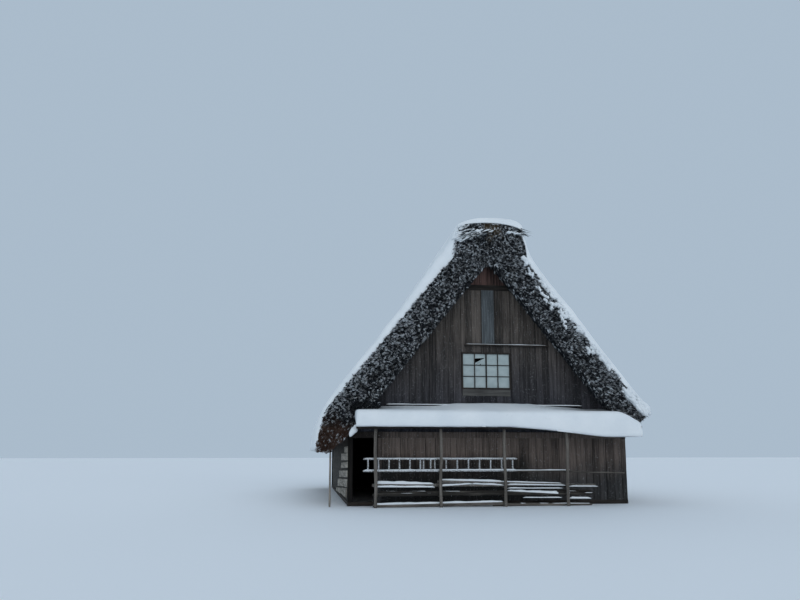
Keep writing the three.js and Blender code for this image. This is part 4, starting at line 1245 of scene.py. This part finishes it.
def build_timbers():
    seed = 900
    for material, nodes in HEWN_TIMBERS:
        for node in nodes:
            seed += 3
            tint = -0.5 if node == "corner_post_front_left" else 0.2 + 0.5 * default_rng(seed).random()
            points, faces, shades, frost = hewn(node, tint, seed)
            if node == "girt_front":
                # Painted shade: the girt's left end, from 3.1 m left of the ridge line, is darkened near to
                # black; the rest is raised to the wall boards' tone
                shades = shades + 0.5 - 1.4 * np.clip((-3.1 - points[:, 0] + RIDGE_X) / 0.2, 0, 1)
            if node == "door_post":
                shades = shades + 0.4
            piece(f"{node}_hewn", (points, faces, shades, frost), material, [node])
    for material, nodes in PLAIN_SOLIDS:
        for node in nodes:
            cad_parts[node].data.materials.clear()
            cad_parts[node].data.materials.append(material)
    low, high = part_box("gable_centre_board")
    front, heights = low.y + 0.004, ((low.z, low.z), (collar_low.z, collar_low.z))
    middle = board(low.x + 0.05, high.x + 0.07, *heights, front, high.y - front, 951, 0.5)
    piece("centre_board", middle, GREY_BOARD, ["gable_centre_board"])
    piece("pent_roof_batten", bar(*zip(BATTEN_LOW, BATTEN_HIGH)), TIMBER)
    low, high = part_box("gable_ledge")
    y = (low.y + high.y) / 2
    ledge = snow_strip((low.x + 0.02, y, high.z), (high.x - 0.02, y, high.z), 0.09, 0.022, 961, 0.3)
    (x0, y, _), (x1, _, z) = BATTEN_LOW, BATTEN_HIGH
    snow_piece("ledge_snow", joined([ledge, snow_strip((x0, y, z), (x1, y, z), 0.05, 0.02, 965, 0.2)]))


# The rack across the front


POST_RADIUS, POST_BOWS = 0.045, (0.012, -0.014, 0.010, -0.012)
ARM_HEIGHTS, ARM_RADIUS = (0.96, 0.55, 0.30), 0.026


def build_rack():
    for i, bow in enumerate(POST_BOWS):
        low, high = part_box(f"rack_post_{i + 1}")
        x, y = (low.x + high.x) / 2, low.y + POST_RADIUS
        share = np.linspace(0, 1, 30)
        path = columns(x + bow * np.sin(2 * math.pi * share), y, high.z * share)
        path[:, 0] += 0.006 * noise(path, 0.25, 1001 + i, 2)
        rings = rings_along(path, POST_RADIUS * (1 - 0.08 * share), 12, 1011 + i, 0.1)
        rings[0, :, 2] = 0
        parts = [tube(rings, 0.55)]
        for top in ARM_HEIGHTS:
            z = top - ARM_RADIUS
            parts.append(pole((x, y, z), (x, high.y, z), ARM_RADIUS, 0.022, 1021 + i, 8, 0.002))
        pole_piece(f"rack_post_{i + 1}", joined(parts), POST_WOOD)


def pole_piece(node, parts, material):
    """Adds round wood in place of a CAD node."""
    piece(f"{node}_wood", parts, material, [node], True)


def build_ladder(label, rungs, seed):
    """Adds a ladder on its edge, with two natural rails and rungs between them, and returns the
    snow along both rails."""
    low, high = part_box(f"ladder_{label}")
    radius, margin = 0.024, 0.13
    y = (low.y + high.y) / 2
    bottom, top = low.z + radius, high.z - radius * 0.9

    def across(z):
        """Both ends of a line along the ladder at one height."""
        return (low.x, y, z), (high.x, y, z)

    parts = [pole(*across(bottom), radius, radius, seed, 8, 0.004)]
    parts.append(pole(*across(top), radius, radius * 0.85, seed + 1, 8, 0.006))
    for i, x in enumerate(np.linspace(low.x + margin, high.x - margin, rungs)):
        parts.append(pole((x, y, bottom), (x, y, top), radius, 0.021, seed + 5 + i, 7, 0.002))
    points, faces, tint, _ = joined(parts)
    pole_piece(f"ladder_{label}", (points, faces, tint, np.full(len(points), 0.56)), POLE_WOOD)
    lift = radius * 0.75
    return [
        snow_strip(*across(bottom + lift), 0.05, 0.032, seed + 31),
        snow_strip(*across(top + lift), 0.042, 0.016, seed + 33, 0.1),
    ]


# Stored poles: start and end along x from the ridge line, distance in front of the wall, height
# of the underside at the two ends, radius at the two ends
RAIL_POLES = [(-3.76, 2.26, 0.44, 0.96, 0.96, 0.022, 0.02), (2.08, 3.86, 0.44, 0.93, 0.89, 0.02, 0.017)]
UPPER_POLES = [
    (-3.5, 0.3, 0.6, 0.55, 0.55, 0.05, 0.032),
    (-1.72, 2.3, 0.522, 0.56, 0.55, 0.048, 0.036),
    (-3.48, 1.2, 0.446, 0.55, 0.55, 0.042, 0.038),
    (-1.68, 1.95, 0.585, 0.655, 0.57, 0.042, 0.026),
    (0.1, 2.9, 0.6, 0.55, 0.55, 0.046, 0.03),
]
MIDDLE_POLES = [
    (-3.48, 2.86, 0.61, 0.3, 0.3, 0.044, 0.034),
    (-3.4, 2.7, 0.544, 0.3, 0.3, 0.034, 0.042),
    (-3.44, 2.5, 0.478, 0.3, 0.3, 0.04, 0.036),
    (-3.3, 2.4, 0.577, 0.375, 0.36, 0.036, 0.03),
    (-3.2, 2.8, 0.511, 0.37, 0.375, 0.03, 0.036),
]
GROUND_POLES = [(-3.48, 0.3, 0.618, 0.0, 0.04, 0.046, 0.05), (-0.1, 2.8, 0.534, 0.0, 0.0, 0.046, 0.034)]
# Their nodes, how much darker each group is painted as shade, and its frost
POLE_GROUPS = (
    ("rail_pole", RAIL_POLES, 0.0, 0.2),
    ("poles_upper", UPPER_POLES, 0.0, 0.4),
    # The middle poles are painted darker as shade under the upper poles
    ("poles_middle", MIDDLE_POLES, 0.9, 0.2),
    ("poles_ground", GROUND_POLES, 0.0, 0.2),
)
# Snow on the stored poles: start and end along x from the ridge line, distance in front of the
# wall, height of its foot at the two ends, width, height at the start and the end's share of it
STORED_SNOW = [
    (-3.42, -1.76, 0.6, 0.645, 0.615, 0.09, 0.125, 0.4),
    (-3.42, -1.76, 0.65, 0.56, 0.545, 0.045, 0.045, 1.0),
    (-1.62, 0.2, 0.585, 0.735, 0.675, 0.075, 0.052, 1.2),
    (-1.62, -0.7, 0.642, 0.57, 0.63, 0.04, 0.045, 1.0),
    (-0.72, 0.2, 0.642, 0.63, 0.585, 0.04, 0.045, 0.8),
    (-0.1, 1.9, 0.585, 0.685, 0.63, 0.06, 0.035, 0.7),
    (0.3, 2.0, 0.648, 0.605, 0.575, 0.035, 0.03, 0.8),
    (0.3, 1.9, 0.648, 0.505, 0.495, 0.035, 0.025, 0.8),
    (0.3, 1.82, 0.61, 0.43, 0.335, 0.09, 0.06, 2.0),
    (0.75, 1.88, 0.64, 0.245, 0.235, 0.03, 0.025, 1.0),
    (2.1, 2.95, 0.636, 0.545, 0.54, 0.05, 0.035, 0.8),
    (2.1, 2.75, 0.62, 0.21, 0.205, 0.07, 0.06, 0.6),
    (-3.45, 0.2, 0.618, 0.075, 0.125, 0.08, 0.065, 0.8),
]
# Whole poles with a thin line of snow: pole, width, height, seed and gaps
SNOWY_POLES = (
    (RAIL_POLES[0], 0.045, 0.026, 1401, 0.0),
    (MIDDLE_POLES[3], 0.05, 0.013, 1441, 0.6),
    (MIDDLE_POLES[0], 0.05, 0.013, 1451, 0.65),
    (GROUND_POLES[1], 0.06, 0.02, 1471, 0.7),
)
# Lumps of snow on the beam's left end: place from its end, and half sizes
BEAM_LUMP_PLACES = np.array([[0, 0, -0.02], [-0.07, 0, -0.12], [0.04, 0, 0.07], [-0.03, 0, -0.06]])
BEAM_LUMP_SIZES = [[0.09, 0.07, 0.11], [0.06, 0.06, 0.09], [0.05, 0.05, 0.07], [0.09, 0.06, 0.1]]


def laid(x0, x1, forward, z0, z1):
    """Both ends of a line along the rack."""
    y = WALL_FRONT - forward
    return (RIDGE_X + x0, y, z0), (RIDGE_X + x1, y, z1)


def build_poles():
    seed = 1200
    for node, rows, darker, frost in POLE_GROUPS:
        parts = []
        for x0, x1, forward, z0, z1, butt, tip in rows:
            seed += 11
            parts.append(pole(*laid(x0, x1, forward, z0 + butt, z1 + tip), butt, tip, seed))
        points, faces, tint, _ = joined(parts)
        pole_piece(node, (points, faces, tint - darker, np.full(len(points), frost)), POLE_WOOD)
    snow = build_ladder("left", 8, 1301) + build_ladder("right", 9, 1351)
    for (x0, x1, forward, z0, z1, butt, tip), *sizes in SNOWY_POLES:
        ends = laid(x0 + 0.02, x1 - 0.02, forward, z0 + 2 * butt - 0.012, z1 + 2 * tip - 0.012)
        snow.append(snow_strip(*ends, *sizes))
    for i, (*place, width, height, taper) in enumerate(STORED_SNOW):
        snow.append(snow_strip(*laid(*place), width, height, 1411 + 5 * i, 0.05, taper))
    low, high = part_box("pent_roof_beam")
    beam_end = np.array([low.x - 0.06, (low.y + high.y) / 2, low.z - 0.02])
    snow.append(snow_lumps(beam_end + BEAM_LUMP_PLACES, BEAM_LUMP_SIZES, [0.5, 0.5, 0.4, 0.6], 1481))
    snow_piece("snow_on_poles", joined(snow))


def build_eave_post():
    low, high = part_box("left_eave_post")
    x, y = (low.x + high.x) / 2, (low.y + high.y) / 2
    points, faces, tint, frost = pole((x, y, 0), (x, y, high.z), 0.03, 0.025, 1502, 10, 0.008)
    pole_piece("left_eave_post", (points, faces, tint + 0.9, frost), POST_WOOD)


# Floor, light and camera


def build_stage():
    floor = bpy.data.meshes.new("floor")
    reach = 160
    corners = [(-reach, -reach, 0), (reach, -reach, 0), (reach, reach, 0), (-reach, reach, 0)]
    floor.from_pydata(corners, [], [(0, 1, 2, 3)])
    floor.materials.append(Finish("pale_floor", 0.9, 0.1).colour((0.94, 0.965, 0.99)))
    ground = linked("floor", floor)
    bpy.context.scene.world = overcast()
    for name, tilt, turn, spread, power in (("front_sky", 77, 0, 80, 0.85), ("back_sky", 62, 180, 85, 0.3)):
        lamp = bpy.data.lights.new(name, "SUN")
        lamp.angle = math.radians(spread)
        lamp.energy = power
        lamp.color = (1.0, 0.985, 0.96)
        linked(name, lamp).rotation_euler = (math.radians(tilt), 0, math.radians(turn))


def overcast():
    """A grey sky, one tone round the horizon and a little darker overhead."""
    world = bpy.data.worlds.new("soft_studio")
    world.use_nodes = True
    tree = world.node_tree
    direction = tree.nodes.new("ShaderNodeTexCoord").outputs["Generated"]
    split = tree.nodes.new("ShaderNodeSeparateXYZ")
    ramp = tree.nodes.new("ShaderNodeValToRGB")
    tree.links.new(direction, split.inputs[0])
    tree.links.new(split.outputs["Z"], ramp.inputs["Fac"])
    tree.links.new(ramp.outputs["Color"], tree.nodes["Background"].inputs["Color"])
    low, high = ramp.color_ramp.elements
    low.position, low.color = 0.55, (0.405, 0.5, 0.6, 1)
    high.position, high.color = 1.0, (0.36, 0.44, 0.53, 1)
    return world


def build_camera():
    """The photograph's view: the place, heading and pitch that put the house where it stands in
    the 800 by 600 frame, for a focal length given in that frame's pixels."""
    focal_px, frame_px, sensor = 726.4, 800, 36.0
    heading, pitch = math.radians(7.61), math.radians(8.744)
    camera = bpy.data.cameras.new("camera")
    camera.sensor_width = sensor
    camera.lens = focal_px / frame_px * sensor
    camera.shift_y = 0.05
    camera.clip_end = 500
    holder = linked("camera", camera)
    holder.location = (-5.308, -25.986, 1.511)
    holder.rotation_euler = (math.pi / 2 + pitch, 0, -heading)
    bpy.context.scene.camera = holder


build_camera()
build_stage()
build_thatch()
build_snow()
build_gable("front", WALL_FRONT, 1, 301)
build_gable("back", WALL_BACK, -1, 341)
build_window("front", WALL_FRONT, 1, True)
build_window("back", WALL_BACK, -1, False)
build_walls()
build_timbers()
build_rack()
build_poles()
build_eave_post()
bpy.context.scene.view_settings.view_transform = "Standard"
